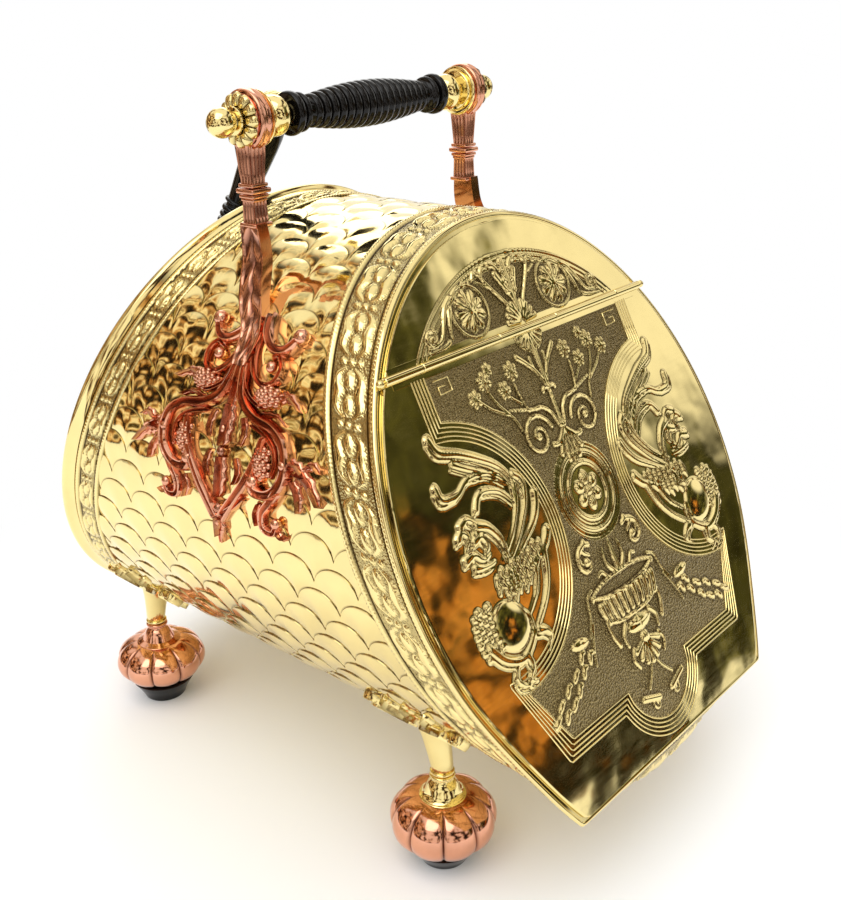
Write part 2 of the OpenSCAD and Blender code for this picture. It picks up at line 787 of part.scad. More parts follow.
finial_neck = 3.5;
finial_hold = 8;
module finial(side) {
    color(BRASS) at_grip() translate([side * (boss_out + rosette_t), 0, 0]) along_x(side) difference() {
        union() {
            cylinder(r = finial_r * 0.85, h = 2);
            cylinder(r = finial_r * 0.6, h = finial_neck + 3);
            translate([0, 0, finial_neck + finial_r * 0.8]) sphere(r = finial_r);
        }
        translate([0, 0, -1]) cylinder(r = rod_r, h = finial_hold + 1);
    }
}
module finial_left() finial(LEFT);
module finial_right() finial(RIGHT);

// The inner bead is a ball with a stepped collar against the arm.
module bead(side) {
    color(BRASS) at_grip() translate([side * (grip_half + grip_gap), 0, 0]) along_x(side) difference() {
        union() {
            cylinder(r = bead_r * 0.6, h = bead_len);
            translate([0, 0, bead_r]) sphere(r = bead_r);
            translate([0, 0, bead_len - 4]) cylinder(r = bead_r + 1, h = 2);
            translate([0, 0, bead_len - 2]) cylinder(r = bead_r + 3.5, h = 2);
        }
        translate([0, 0, -1]) cylinder(r = rod_r, h = bead_len + 2);
    }
}
module bead_left() bead(LEFT);
module bead_right() bead(RIGHT);

module handle_rod() {
    color(STEEL) at_grip() along_x(1)
        cylinder(r = rod_r, h = 2 * (boss_out + rosette_t + finial_hold), center = true);
}

// The grip: end disc, cove, smaller disc, and a barrel that swells over its rings.
ring_span = 50;
grip_core = 8.5;
module grip() {
    pitch = 2 * ring_span / grip_rings;
    color(BLACK) at_grip() along_x(1) difference() {
        union() {
            cylinder(r = grip_core, h = 2 * grip_half, center = true);
            for (end = [-1, 1]) {
                translate([0, 0, end * (grip_half - 3)]) cylinder(r = grip_end_r, h = 6, center = true);
                translate([0, 0, end * (grip_half - 10)])
                    cylinder(r = grip_end_r - 1.5, h = 4, center = true);
            }
            for (k = [0:grip_rings - 1]) let (
                z = -ring_span + (k + 0.5) * pitch,
                r = grip_core + 1.5 + (grip_r - grip_core - 1.5) * cos(z / ring_span * 80))
                translate([0, 0, z]) rotate_extrude() polygon([[0, -pitch / 2], [r - 1.2, -pitch / 2],
                    [r, -pitch / 4], [r, pitch / 4], [r - 1.2, pitch / 2], [0, pitch / 2]]);
        }
        cylinder(r = rod_r + grip_clear, h = 3 * grip_half, center = true);
    }
}

// ---------------------------------------------------------------- feet

bun_low = base_h - 4;
collar_low = bun_low + bun_h - collar_sink;
leg_low = collar_low + collar_h;
stud_low = 5;
foot_x = drum_r - foot_inset;
stud_len = axis_h - sqrt(pow(drum_r, 2) - pow(foot_x - stud_r, 2)) - stud_clear - stud_low;

module at_foot(side, y) {
    translate([side * foot_x, hinge_y + y, 0]) children();
}
foot_rise = sqrt(pow(drum_r, 2) - pow(foot_x, 2));
front_foot_y = foot_behind + front_band_w / sin(front_slope)
    - (hinge_rise + foot_rise) / tan(front_slope);
rear_foot_y = body_len + foot_rise * tan(back_rake) + band_from / cos(back_rake) - foot_ahead;

// A small bead, the tapering neck that leans out along the drum, and a plate of scrolls that
// hugs the drum.
function plate_y(y) = y + (y < body_len / 2 ? leg_lean : -leg_lean);
module leg(side, y) {
    top = axis_h - sqrt(pow(drum_r, 2) - pow(foot_x + leg_top_r + 4, 2));
    lean = (plate_y(y) - y) / (top - leg_low);
    color(BRASS) difference() {
        union() {
            at_foot(side, y) translate([0, 0, leg_low]) {
                cylinder(r = leg_r, h = 2);
                translate([0, 0, 2]) cylinder(r = leg_r - 1.5, h = 3);
                translate([0, 0, 4]) multmatrix([[1, 0, 0, 0], [0, 1, lean, 0], [0, 0, 1, 0], [0, 0, 0, 1]])
                    frustum(leg_r, leg_top_r, top - leg_low);
            }
            intersection() {
                drum_axis_rod(drum_r + leg_plate_t);
                leg_plate_prism(side, y);
            }
        }
        drum_axis_rod(drum_r);
        // the rear plates lap the back band
        back_ring(0.01, drum_r + band_t + bead_h, band_from, 0);
        at_foot(side, y) translate([0, 0, leg_low - 1])
            cylinder(r = stud_r, h = stud_len + stud_low - leg_low + 1);
        leg_rivet_places(side, y) cylinder(r = shank_r, h = 4 * leg_plate_t, center = true, $fn = 24);
    }
}
foot_a = asin(foot_x / drum_r);
module leg_plate_prism(side, y) {
    at_foot(side, plate_y(y)) translate([-side * 6, 0, leg_low + 8]) linear_extrude(60) union() {
        for (end = [-1, 1]) {
            translate([0, end * (leg_plate_l / 2 - 7)]) circle(r = 7, $fn = 32);
            translate([0, end * leg_plate_l * 0.25]) circle(r = leg_plate_w * 0.3, $fn = 32);
        }
        circle(r = leg_plate_w * 0.45, $fn = 48);
        square([leg_plate_w * 0.4, leg_plate_l - 14], center = true);
    }
}
module leg_rivet_places(side, y) {
    for (end = [-1, 1])
        translate([0, hinge_y + plate_y(y) + end * (leg_top_r + 5), axis_h])
            rotate([0, side * (180 - foot_a + 3), 0]) translate([0, 0, drum_r]) children();
}
module leg_rivets() {
    color(BRASS) for (side = [LEFT, RIGHT], y = [front_foot_y, rear_foot_y])
        leg_rivet_places(side, y) translate([0, 0, leg_plate_t]) rivet(leg_plate_t);
}
module collar(side, y) {
    color(BRASS) at_foot(side, y) translate([0, 0, collar_low]) rotate_extrude() polygon([
        [stud_r, 0], [collar_r - 1, 0], [collar_r, 1.5], [collar_r, 3.5], [collar_r - 2, 4.5],
        [collar_r - 3, 7], [leg_r + 1, collar_h * 0.6], [leg_r - 1, collar_h - 3], [leg_r, collar_h - 1.5],
        [leg_r, collar_h], [stud_r, collar_h]]);
}
// The bun bulges between its flat bottom and the ring round the collar's seat.
bun_flat = 15;
seat_clear = 0.3;
module bun(side, y) {
    outline = [for (a = [-90:15:75])
        [bun_flat + (bun_r - bun_flat) * cos(a), bun_h / 2 * (1 + sin(a))]];
    seat_z = bun_h - collar_sink;
    color(COPPER) at_foot(side, y) translate([0, 0, bun_low]) difference() {
        rotate_extrude() polygon(concat([[stud_r, 0]], outline, [[collar_r + seat_clear + 1, bun_h - 0.2],
            [collar_r + seat_clear, bun_h - 1.2], [collar_r + seat_clear, seat_z], [stud_r, seat_z]]));
        // seat for the base
        translate([0, 0, -1]) cylinder(r = base_top_r - 6, h = 1 + base_h - bun_low - 2);
    }
}
module base(side, y) {
    seat = base_top_r - 6;
    color(BLACK) at_foot(side, y) rotate_extrude() polygon([
        [stud_r, stud_low], [stud_r + 4, stud_low], [stud_r + 4, 0], [base_r - 1.5, 0], [base_r, 1.5],
        [base_top_r, bun_low - 1.5], [base_top_r - 1.5, bun_low], [seat, bun_low],
        [seat, base_h - 2], [stud_r, base_h - 2]]);
}
module foot_studs() {
    color(STEEL) for (side = [LEFT, RIGHT], y = [front_foot_y, rear_foot_y]) at_foot(side, y) {
        translate([0, 0, stud_low]) cylinder(r = stud_r, h = stud_len);
        translate([0, 0, stud_low - 3]) cylinder(r = stud_r + 3, h = 3);
    }
}
module leg_front_left() leg(LEFT, front_foot_y);
module leg_front_right() leg(RIGHT, front_foot_y);
module leg_rear_left() leg(LEFT, rear_foot_y);
module leg_rear_right() leg(RIGHT, rear_foot_y);
module collar_front_left() collar(LEFT, front_foot_y);
module collar_front_right() collar(RIGHT, front_foot_y);
module collar_rear_left() collar(LEFT, rear_foot_y);
module collar_rear_right() collar(RIGHT, rear_foot_y);
module bun_front_left() bun(LEFT, front_foot_y);
module bun_front_right() bun(RIGHT, front_foot_y);
module bun_rear_left() bun(LEFT, rear_foot_y);
module bun_rear_right() bun(RIGHT, rear_foot_y);
module base_front_left() base(LEFT, front_foot_y);
module base_front_right() base(RIGHT, front_foot_y);
module base_rear_left() base(LEFT, rear_foot_y);
module base_rear_right() base(RIGHT, rear_foot_y);

// ---------------------------------------------------------------- shovel and its straps

// Drawn standing on the blade's tip: X across the blade, Y out of the back, Z up the shovel.
module at_shovel() {
    on_back() translate([tip_side - drum_r, shovel_off, rest_up]) rotate([0, shovel_lean, 0]) children();
}
ferrule_len = 16;
ferrule_low = shovel_len - shovel_finial_h - shovel_grip_len - ferrule_len;
heel_h = 30;
socket_r = stem_r + 2.5;

// A tray with a flat floor towards the drum, two sides and a sloping heel.
module tray_outline(w, d, r) {
    translate([-w / 2, -d / 2]) difference() {
        union() {
            translate([r, 0]) square([w - 2 * r, d]);
            translate([0, r]) square([w, d - r]);
            for (x = [r, w - r]) translate([x, r]) circle(r = r, $fn = 48);
        }
    }
}
module shovel_blade() {
    r = 10;
    inside_w = blade_w - 2 * blade_t;
    color(BRASS) at_shovel() difference() {
        intersection() {
            linear_extrude(blade_len) tray_outline(blade_w, blade_d, r);
            // the sides rise from the tip
            rotate([90, 0, 90]) linear_extrude(far, center = true) polygon([
                [-blade_d / 2, 0], [-blade_d / 2 + blade_t, 0], [blade_d / 2, 34],
                [blade_d / 2, blade_len], [-blade_d / 2, blade_len]]);
        }
        translate([0, blade_t, -1]) linear_extrude(blade_len - blade_t + 1)
            tray_outline(inside_w, blade_d, r - blade_t);
    }
}
module shovel_stem() {
    color(STEEL) at_shovel() union() {
        translate([0, 0, blade_len]) cylinder(r = stem_r + 5, h = 2);
        translate([0, 0, blade_len + 2]) frustum(socket_r, stem_r, 12);
        translate([0, 0, blade_len + 2]) cylinder(r = stem_r, h = ferrule_low + ferrule_len + 18 - blade_len - 2);
    }
}
module shovel_ferrule() {
    color(BRASS) at_shovel() translate([0, 0, ferrule_low]) rotate_extrude() polygon([
        [stem_r, 0], [stem_r + 2, 0], [stem_r + 3.5, 3], [stem_r + 3.5, 6], [stem_r + 2.5, 8],
        [stem_r + 4.5, 10], [stem_r + 4.5, ferrule_len], [stem_r, ferrule_len]]);
}
module shovel_handle() {
    low = ferrule_low + ferrule_len;
    tang = 18;
    color(BLACK) at_shovel() translate([0, 0, low]) difference() {
        union() {
            rotate_extrude() polygon([
                [0, 0], [stem_r + 3, 0], [stem_r + 4, 4], [stem_r + 4, shovel_grip_len * 0.32],
                [shovel_grip_r - 3, shovel_grip_len * 0.38], [shovel_grip_r, shovel_grip_len * 0.8],
                [shovel_grip_r - 1, shovel_grip_len * 0.93], [shovel_grip_r - 4, shovel_grip_len],
                [0, shovel_grip_len]]);
            for (k = [0:6]) translate([0, 0, 5 + k * shovel_grip_len * 0.045])
                cylinder(r = stem_r + 5.5, h = shovel_grip_len * 0.025);
        }
        translate([0, 0, -1]) cylinder(r = stem_r, h = tang + 1);
    }
}
module shovel_finial() {
    low = shovel_len - shovel_finial_h;
    r = shovel_finial_r;
    color(BRASS) at_shovel() translate([0, 0, low]) rotate_extrude() polygon(concat(
        [[0, 0], [r - 5, 0], [r - 3, 2], [r, 3]],
        [for (a = [0:15:75]) [r * cos(a), 4 + (shovel_finial_h - 4) * sin(a)]],
        [[0, shovel_finial_h]]));
}
strap_in_w = blade_w + 2 * strap_clear;
strap_foot = 12;
// A strap runs from a foot on the back plate, out round the blade and back to the other foot.
module shovel_strap(at) {
    plate = -shovel_off - back_inset;
    out = blade_d / 2 + strap_clear;
    color(BRASS) at_shovel() translate([0, 0, at - strap_h / 2]) difference() {
        union() {
            translate([-strap_in_w / 2 - strap_t, out, 0]) cube([strap_in_w + 2 * strap_t, strap_t, strap_h]);
            for (end = [0, 1]) mirror([end, 0, 0]) {
                translate([strap_in_w / 2, plate, 0]) cube([strap_t, out - plate, strap_h]);
                translate([strap_in_w / 2, plate, 0]) cube([strap_foot, strap_t, strap_h]);
            }
        }
        strap_rivet_places() rotate([90, 0, 0]) cylinder(r = shank_r, h = far, center = true, $fn = 24);
    }
}
module strap_rivet_places() {
    for (end = [-1, 1]) translate([end * (strap_in_w / 2 + strap_foot * 0.6), 0, strap_h / 2]) children();
}
module shovel_strap_upper() shovel_strap(strap_high_at);
module shovel_strap_lower() shovel_strap(strap_low_at);
rest_gap = strap_clear / 2;
module shovel_rest() {
    plate = -shovel_off - back_inset;
    color(BRASS) at_shovel() union() {
        translate([-rest_w / 2, plate, -strap_t - rest_gap]) cube([rest_w, blade_d / 2 - plate, strap_t]);
        translate([-rest_w / 2, plate, -rest_foot]) cube([rest_w, strap_t, rest_foot - rest_gap]);
    }
}
module strap_rivets() {
    plate = -shovel_off - back_inset + strap_t;
    color(BRASS) at_shovel() for (at = [strap_low_at, strap_high_at])
        translate([0, plate, at - strap_h / 2]) strap_rivet_places() rotate([-90, 0, 0]) rivet(strap_t);
}

drum_shell();
back_plate();
back_rim();
back_band();
front_band();
front_frame();
arch_plate();
arch_rivets();
hinge_fixed_leaf();
hinge_pin();
hinge_lid_leaf();
lid_plate();
lid_rivets();
coal_liner();
arm_left();
arm_right();
bracket_left();
bracket_right();
bracket_rivets();
rosette_left();
rosette_right();
finial_left();
finial_right();
bead_left();
bead_right();
handle_rod();
grip();
leg_front_left();
leg_front_right();
leg_rear_left();
leg_rear_right();
collar_front_left();
collar_front_right();
collar_rear_left();
collar_rear_right();
bun_front_left();
bun_front_right();
bun_rear_left();
bun_rear_right();
base_front_left();
base_front_right();
base_rear_left();
base_rear_right();
foot_studs();
leg_rivets();
shovel_strap_upper();
shovel_strap_lower();
shovel_rest();
strap_rivets();
shovel_blade();
shovel_stem();
shovel_ferrule();
shovel_handle();
shovel_finial();
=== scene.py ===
import json
import math
from contextlib import contextmanager

import bmesh
import bpy
import numpy as np
from mathutils import Matrix, Vector

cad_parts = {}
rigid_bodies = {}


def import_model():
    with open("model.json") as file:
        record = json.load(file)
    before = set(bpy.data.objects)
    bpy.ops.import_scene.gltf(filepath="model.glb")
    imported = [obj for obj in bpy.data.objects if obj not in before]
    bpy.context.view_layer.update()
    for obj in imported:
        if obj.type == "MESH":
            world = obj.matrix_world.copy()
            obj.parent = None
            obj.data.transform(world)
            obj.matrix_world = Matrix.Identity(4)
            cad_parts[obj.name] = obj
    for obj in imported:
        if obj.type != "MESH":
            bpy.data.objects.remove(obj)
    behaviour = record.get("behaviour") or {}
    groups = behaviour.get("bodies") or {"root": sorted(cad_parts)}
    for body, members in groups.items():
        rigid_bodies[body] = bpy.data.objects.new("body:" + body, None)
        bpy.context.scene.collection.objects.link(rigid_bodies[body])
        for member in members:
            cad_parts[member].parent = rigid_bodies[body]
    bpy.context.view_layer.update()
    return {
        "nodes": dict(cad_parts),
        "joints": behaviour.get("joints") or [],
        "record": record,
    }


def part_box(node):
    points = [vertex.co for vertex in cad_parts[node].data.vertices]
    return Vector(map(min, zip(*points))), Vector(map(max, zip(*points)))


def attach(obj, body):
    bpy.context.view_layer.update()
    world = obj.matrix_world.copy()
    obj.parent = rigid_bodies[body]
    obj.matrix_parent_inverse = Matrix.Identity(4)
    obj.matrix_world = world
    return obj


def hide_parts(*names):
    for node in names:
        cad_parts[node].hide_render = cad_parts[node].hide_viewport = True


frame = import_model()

bl_info = {
    "name": "Embossed Drum Coal Scuttle",
    "version": (1, 0, 0),
    "blender": (4, 5, 0),
    "location": "3D View > Sidebar > Coal Scuttle",
    "description": "Dresses the solids of a drum coal scuttle with embossed brass, cast copper and turned wood",
    "category": "Object",
}

# ------------------------------------------------------------------ where the solids are

MM = 0.001

# angles: the lid's plane up from level, the back's plane from upright, the shovel's lean on it
SLOPE = math.radians(63)
RAKE = math.radians(21.9)
SHOVEL_LEAN = math.radians(14.5)
OUT_OF_LID = np.array([0, -math.sin(SLOPE), math.cos(SLOPE)])
OUT_OF_BACK = np.array([0, math.cos(RAKE), math.sin(RAKE)])


def corners_of(node):
    """A solid's lowest and highest corners in millimetres."""
    return [np.array(corner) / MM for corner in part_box(node)]


def joint_place(name):
    return np.array(next(joint for joint in frame["joints"] if joint["name"] == name)["pos_m"]) / MM


DRUM_LOW, DRUM_HIGH = corners_of("drum_shell")
DRUM_R = (DRUM_HIGH[0] - DRUM_LOW[0]) / 2
AXIS_Z = (DRUM_HIGH[2] + DRUM_LOW[2]) / 2
PIN = joint_place("lid_hinge")
PIN_OUT = 3.0  # the pin's height above the lid's plane
HINGE = PIN - PIN_OUT * OUT_OF_LID
HINGE_RISE = HINGE[2] - AXIS_Z
BODY_LEN = 252.7  # from the hinge to where the back's plane crosses the drum's axis
BACK_Y = HINGE[1] + BODY_LEN
GRIP = joint_place("grip_spin")
LIP_REACH = 263.0  # from the hinge down the slope to the lip
LIP_HALF = 105.0
FLARE_FROM = 175.0  # how far down the slope the sides begin to flare out to the lip
BAND_W = 34.0
BAND_ROUND, BAND_LIP = 25.0, 1.5  # behind the lid's plane, the band is round there and flared here
LID_TOP = 1.7
PLATE_INSET, PLATE_THICK = 2.4, 1.4
LEG_LEAN = 9.0
# the shovel's tip in the back's plane, from the drum's lowest left corner there
SHOVEL_TIP = (68.4, 26.0, 70.4)
SHOVEL_LEN, SHOVEL_FINIAL, SHOVEL_HANDLE, SHOVEL_FERRULE = 335, 13, 104, 16


def foot_place(name):
    low, high = corners_of("base_" + name)
    return (low[0] + high[0]) / 2, (low[1] + high[1]) / 2


def low_of(node):
    """The height of a solid's underside."""
    return corners_of(node)[0][2]


# ------------------------------------------------------------------ the user's sizes and colours


class ScuttleSizes(bpy.types.PropertyGroup):
    """Sizes of the ornament that lies over the solids."""

    scale_width: bpy.props.FloatProperty(
        name="Scale width", description="Width of one fish scale along the drum",
        default=0.0336, min=0.02, max=0.05, unit="LENGTH")
    scale_pitch: bpy.props.FloatProperty(
        name="Scale pitch", description="Distance between rows of scales round the drum",
        default=0.01715, min=0.01, max=0.03, unit="LENGTH")
    scale_step: bpy.props.FloatProperty(
        name="Scale step", description="Height of each scale's edge above the row it overlaps",
        default=0.0005, min=0.0002, max=0.002, unit="LENGTH")
    scale_dome: bpy.props.FloatProperty(
        name="Scale dome", description="Height to which each scale is domed",
        default=0.0012, min=0.0, max=0.002, unit="LENGTH")
    lid_relief: bpy.props.FloatProperty(
        name="Lid relief", description="How far the lid's ornament is scaled up from its drawn height",
        default=1.0, min=0.3, max=1.5)
    bun_lobes: bpy.props.IntProperty(
        name="Bun lobes", description="Number of lobes round each bun foot", default=9, min=8, max=12)
    grip_rings: bpy.props.IntProperty(
        name="Grip rings", description="Number of rings turned on the grip", default=17, min=13, max=19)


class ScuttleColours(bpy.types.PropertyGroup):
    """Base colours, as sRGB hex values."""

    brass: bpy.props.StringProperty(
        name="Brass", description="Colour of the polished brass", default="#F5E09C")
    # brass_shade also colours the painted shade in the brass's hollows, grooves and gaps
    brass_shade: bpy.props.StringProperty(
        name="Brass shade", description="Colour of the tarnish left in the brass's hollows", default="#4A3206")
    copper: bpy.props.StringProperty(
        name="Copper", description="Colour of the polished copper", default="#E8A889")
    # copper_shade also colours the painted shade in the copper's hollows, grooves and gaps
    copper_shade: bpy.props.StringProperty(
        name="Copper shade", description="Colour of the tarnish left in the copper's hollows", default="#4A1E12")
    wood: bpy.props.StringProperty(
        name="Ebonised wood", description="Colour of the blacked and polished wood", default="#060505")
    steel: bpy.props.StringProperty(
        name="Steel", description="Colour of the steel rods", default="#A9A9AC")
    sheet: bpy.props.StringProperty(
        name="Liner sheet", description="Colour of the black coal liner", default="#1C1B1B")
    floor: bpy.props.StringProperty(
        name="Floor", description="Colour of the plain floor", default="#FAFAF9")


# ------------------------------------------------------------------ surfaces that pieces lie on
# Every function here takes and gives millimetres, as arrays or numbers.


def on_lid(x, y, out):
    """X across the lid, Y up its slope from the hinge line, out of its plane."""
    return np.stack([
        x + 0 * y,
        HINGE[1] + y * math.cos(SLOPE) - out * math.sin(SLOPE),
        HINGE[2] + y * math.sin(SLOPE) + out * math.cos(SLOPE)], -1)


def outline(a):
    """The front outline across and up from the drum's axis, at turn a from its top."""
    a = np.abs((np.asarray(a, float) + np.pi) % (2 * np.pi) - np.pi)
    drop = LIP_REACH * math.sin(SLOPE) - HINGE_RISE
    corner = math.acos(-drop / DRUM_R)
    flare = LIP_HALF - DRUM_R * math.sin(corner)
    down = (HINGE_RISE - DRUM_R * np.cos(a)) / math.sin(SLOPE)
    share = np.clip((down - FLARE_FROM) / (LIP_REACH - FLARE_FROM), 0, 1)
    on_round = a <= corner
    x = np.where(on_round, DRUM_R * np.sin(a) + flare * share**3,
                 LIP_HALF * (np.pi - a) / (np.pi - corner))
    z = np.where(on_round, DRUM_R * np.cos(a), -drop)
    return x, z


def half_width(y):
    """Half the lid's width at a distance y up the slope (negative is down)."""
    cos_a = np.clip((HINGE_RISE + y * math.sin(SLOPE)) / DRUM_R, -1, 1)
    return outline(np.arccos(cos_a))[0]


def on_band(a, depth, out):
    """On the front band: turn a from the top, depth behind the lid's plane, out of the sheet."""
    a = np.asarray(a, float)
    sign = np.where(a < 0, -1.0, 1.0)
    share = np.clip((BAND_ROUND - depth) / (BAND_ROUND - BAND_LIP), 0, 1) ** 2
    px, pz = outline(a)
    rx, rz = DRUM_R * np.sin(np.abs(a)), DRUM_R * np.cos(a)
    x, z = rx + (px - rx) * share, rz + (pz - rz) * share
    grow = 1 + out / np.hypot(x, z)
    x, z = x * grow, z * grow
    y = HINGE[1] - (HINGE_RISE - z) / math.tan(SLOPE) + depth / math.sin(SLOPE)
    return np.stack([sign * x, y, AXIS_Z + z], -1)


def on_drum(a, y, out):
    """On the drum: turn a from the top, place y along it, out of the sheet."""
    r = DRUM_R + out
    return np.stack([r * np.sin(a), y + 0 * a, AXIS_Z + r * np.cos(a)], -1)


def on_back_edge(a, behind, out):
    """Round the drum's slanting back edge: turn a, distance behind the back plane, out of the drum."""
    r = DRUM_R + out
    y = BACK_Y + behind / math.cos(RAKE) - r * np.cos(a) * math.tan(RAKE)
    return np.stack([r * np.sin(a), y, AXIS_Z + r * np.cos(a)], -1)


def in_shovel(p):
    """From the shovel's own place, standing on its tip, to where it leans on the back."""
    x, y, z = p[..., 0], p[..., 1], p[..., 2]
    c, s = math.cos(SHOVEL_LEAN), math.sin(SHOVEL_LEAN)
    x, z = x * c + z * s, z * c - x * s
    x, y, z = x + SHOVEL_TIP[0] - DRUM_R, y + SHOVEL_TIP[1], z + SHOVEL_TIP[2] - DRUM_R
    c, s = math.cos(RAKE), math.sin(RAKE)
    return np.stack([x, BACK_Y + y * c - z * s, AXIS_Z + y * s + z * c], -1)


# ------------------------------------------------------------------ modelling helpers

# points closer than this in metres become one
WELD, FINE_WELD = 0.00002, 0.00001


def clear_selection():
    if bpy.context.object and bpy.context.object.mode != "OBJECT":
        bpy.ops.object.mode_set(mode="OBJECT")
    for obj in bpy.context.view_layer.objects:
        obj.select_set(False)
    bpy.context.view_layer.objects.active = None


def make_active(obj):
    clear_selection()
    obj.select_set(True)
    bpy.context.view_layer.objects.active = obj


@contextmanager
def editing(obj, action="SELECT"):
    """Edit mode on a piece, with all its points selected or, with DESELECT, none."""
    make_active(obj)
    bpy.ops.object.mode_set(mode="EDIT")
    bpy.ops.mesh.select_all(action=action)
    yield
    bpy.ops.object.mode_set(mode="OBJECT")


def move_points(obj, points_mm):
    """Moves each point of the piece to its place in millimetres."""
    obj.data.vertices.foreach_set("co", (np.asarray(points_mm) * MM).astype(np.float32).ravel())
    obj.data.update()


def points_of(obj):
    co = np.zeros(len(obj.data.vertices) * 3, np.float32)
    obj.data.vertices.foreach_get("co", co)
    return co.reshape(-1, 3).astype(float) / MM


def grid_piece(name, points, away_from=None):
    """A sheet made from Blender's grid, its points moved to where the pattern puts them.
    points is rows x columns x 3. away_from is a point that its outside faces away from."""
    rows, columns = points.shape[0] - 1, points.shape[1] - 1
    clear_selection()
    bpy.ops.mesh.primitive_grid_add(x_subdivisions=columns, y_subdivisions=rows, size=2)
    obj = bpy.context.object
    obj.name = obj.data.name = name
    co = points_of(obj) * MM
    column = np.rint((co[:, 0] + 1) / 2 * columns).astype(int)
    row = np.rint((co[:, 1] + 1) / 2 * rows).astype(int)
    move_points(obj, points[row, column])
    if away_from is not None:
        normals = np.zeros(len(obj.data.polygons) * 3, np.float32)
        centres = normals.copy()
        obj.data.polygons.foreach_get("normal", normals)
        obj.data.polygons.foreach_get("center", centres)
        away = centres.reshape(-1, 3) / MM - np.asarray(away_from, float)
        if (normals.reshape(-1, 3) * away).sum(1).mean() < 0:
            with editing(obj):
                bpy.ops.mesh.flip_normals()
    return obj, (row, column)


def weld_piece(obj, recalculate=True):
    """Joins points that lie on each other, and turns the faces outward unless told not to."""
    with editing(obj):
        bpy.ops.mesh.remove_doubles(threshold=WELD)
        if recalculate:
            bpy.ops.mesh.normals_make_consistent(inside=False)


def note_value(obj, name, values=0.0):
    """Keeps a value for each point of the piece, or one for them all, which its material reads."""
    layer = obj.data.attributes.new(name, "FLOAT", "POINT")
    layer.data.foreach_set("value", np.array(np.broadcast_to(values, len(obj.data.vertices)), np.float32))


def joined(name, objs):
    clear_selection()
    for obj in objs:
        obj.select_set(True)
    bpy.context.view_layer.objects.active = objs[0]
    bpy.ops.object.join()
    objs[0].name = objs[0].data.name = name
    return objs[0]


def copied(obj, name, points=None):
    """A copy with its own mesh, and its own points if they are given."""
    twin = obj.copy()
    twin.data = obj.data.copy()
    bpy.context.scene.collection.objects.link(twin)
    twin.name = twin.data.name = name
    if points is not None:
        move_points(twin, points)
    return twin


def mirrored(obj, name):
    """The same piece on the other side of X = 0."""
    twin = copied(obj, name, points_of(obj) * [-1, 1, 1])
    with editing(twin):
        bpy.ops.mesh.flip_normals()
    return twin


def finished(obj, body, slot, finish, *replaced, angle=35):
    """Shades the piece, gives it its material and its body, and hides the solids it stands for."""
    make_active(obj)
    bpy.ops.object.shade_smooth_by_angle(angle=math.radians(angle))
    obj.data.materials.clear()
    obj.data.materials.append(finish_of(finish))
    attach(obj, body)
    if replaced:
        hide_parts(*replaced)
    clear_selection()


def turned(name, profile, steps=64):
    """A lathe piece round +Z from a profile of (radius, height) points, spun as on a lathe."""
    count = len(profile)
    clear_selection()
    bpy.ops.mesh.primitive_circle_add(vertices=count, radius=0.01, fill_type="NOTHING")
    obj = bpy.context.object
    obj.name = obj.data.name = name
    move_points(obj, [[r, 0, z] for r, z in profile])
    with editing(obj):
        # the circle is opened between the profile's two ends
        mesh = bmesh.from_edit_mesh(obj.data)
        for edge in list(mesh.edges):
            if {edge.verts[0].index, edge.verts[1].index} == {0, count - 1}:
                mesh.edges.remove(edge)
        bmesh.update_edit_mesh(obj.data)
        bpy.ops.mesh.select_all(action="SELECT")
        bpy.ops.mesh.spin(steps=steps, angle=2 * math.pi, center=(0, 0, 0), axis=(0, 0, 1))
        bpy.ops.mesh.select_all(action="SELECT")
        bpy.ops.mesh.remove_doubles(threshold=FINE_WELD)
        bpy.ops.mesh.normals_make_consistent(inside=False)
    return obj


def arc(r, z, across, along, start, end, steps=8):
    """Points of a rounded moulding in a lathe profile, from one angle to another in degrees."""
    return [(r + across * math.cos(math.radians(t)), z + along * math.sin(math.radians(t)))
            for t in np.linspace(start, end, steps + 1)]


def placed(obj, place):
    """Moves a piece drawn round +Z to its place by a function of its points."""
    move_points(obj, place(points_of(obj)))


def pressed_in(p, depth):
    """Points of a lathe piece moved toward its axis by a depth."""
    r = np.hypot(p[:, 0], p[:, 1])
    k = (r - depth) / np.maximum(r, 0.01)
    return p * np.stack([k, k, np.ones_like(k)], -1)


def lying_along_x(x, side):
    """From +Z to along X, pointing to one side, on the grip's axis."""
    return lambda p: np.stack([x + side * p[:, 2], GRIP[1] + p[:, 1], GRIP[2] - side * p[:, 0]], -1)


def smooth_line(points, steps=6):
    """A smooth line through its points."""
    p = np.asarray(points, float)
    if len(p) < 3:
        t = np.linspace(0, 1, steps * 2 + 1)[:, None]
        return p[0] * (1 - t) + p[-1] * t
    out = []
    for i in range(len(p) - 1):
        a, b, c, d = p[max(i - 1, 0)], p[i], p[i + 1], p[min(i + 2, len(p) - 1)]
        for t in np.arange(steps) / steps:
            out.append(0.5 * (2 * b + (c - a) * t + (2 * a - 5 * b + 4 * c - d) * t**2
                              + (3 * b - a - 3 * c + d) * t**3))
    out.append(p[-1])
    return np.array(out)


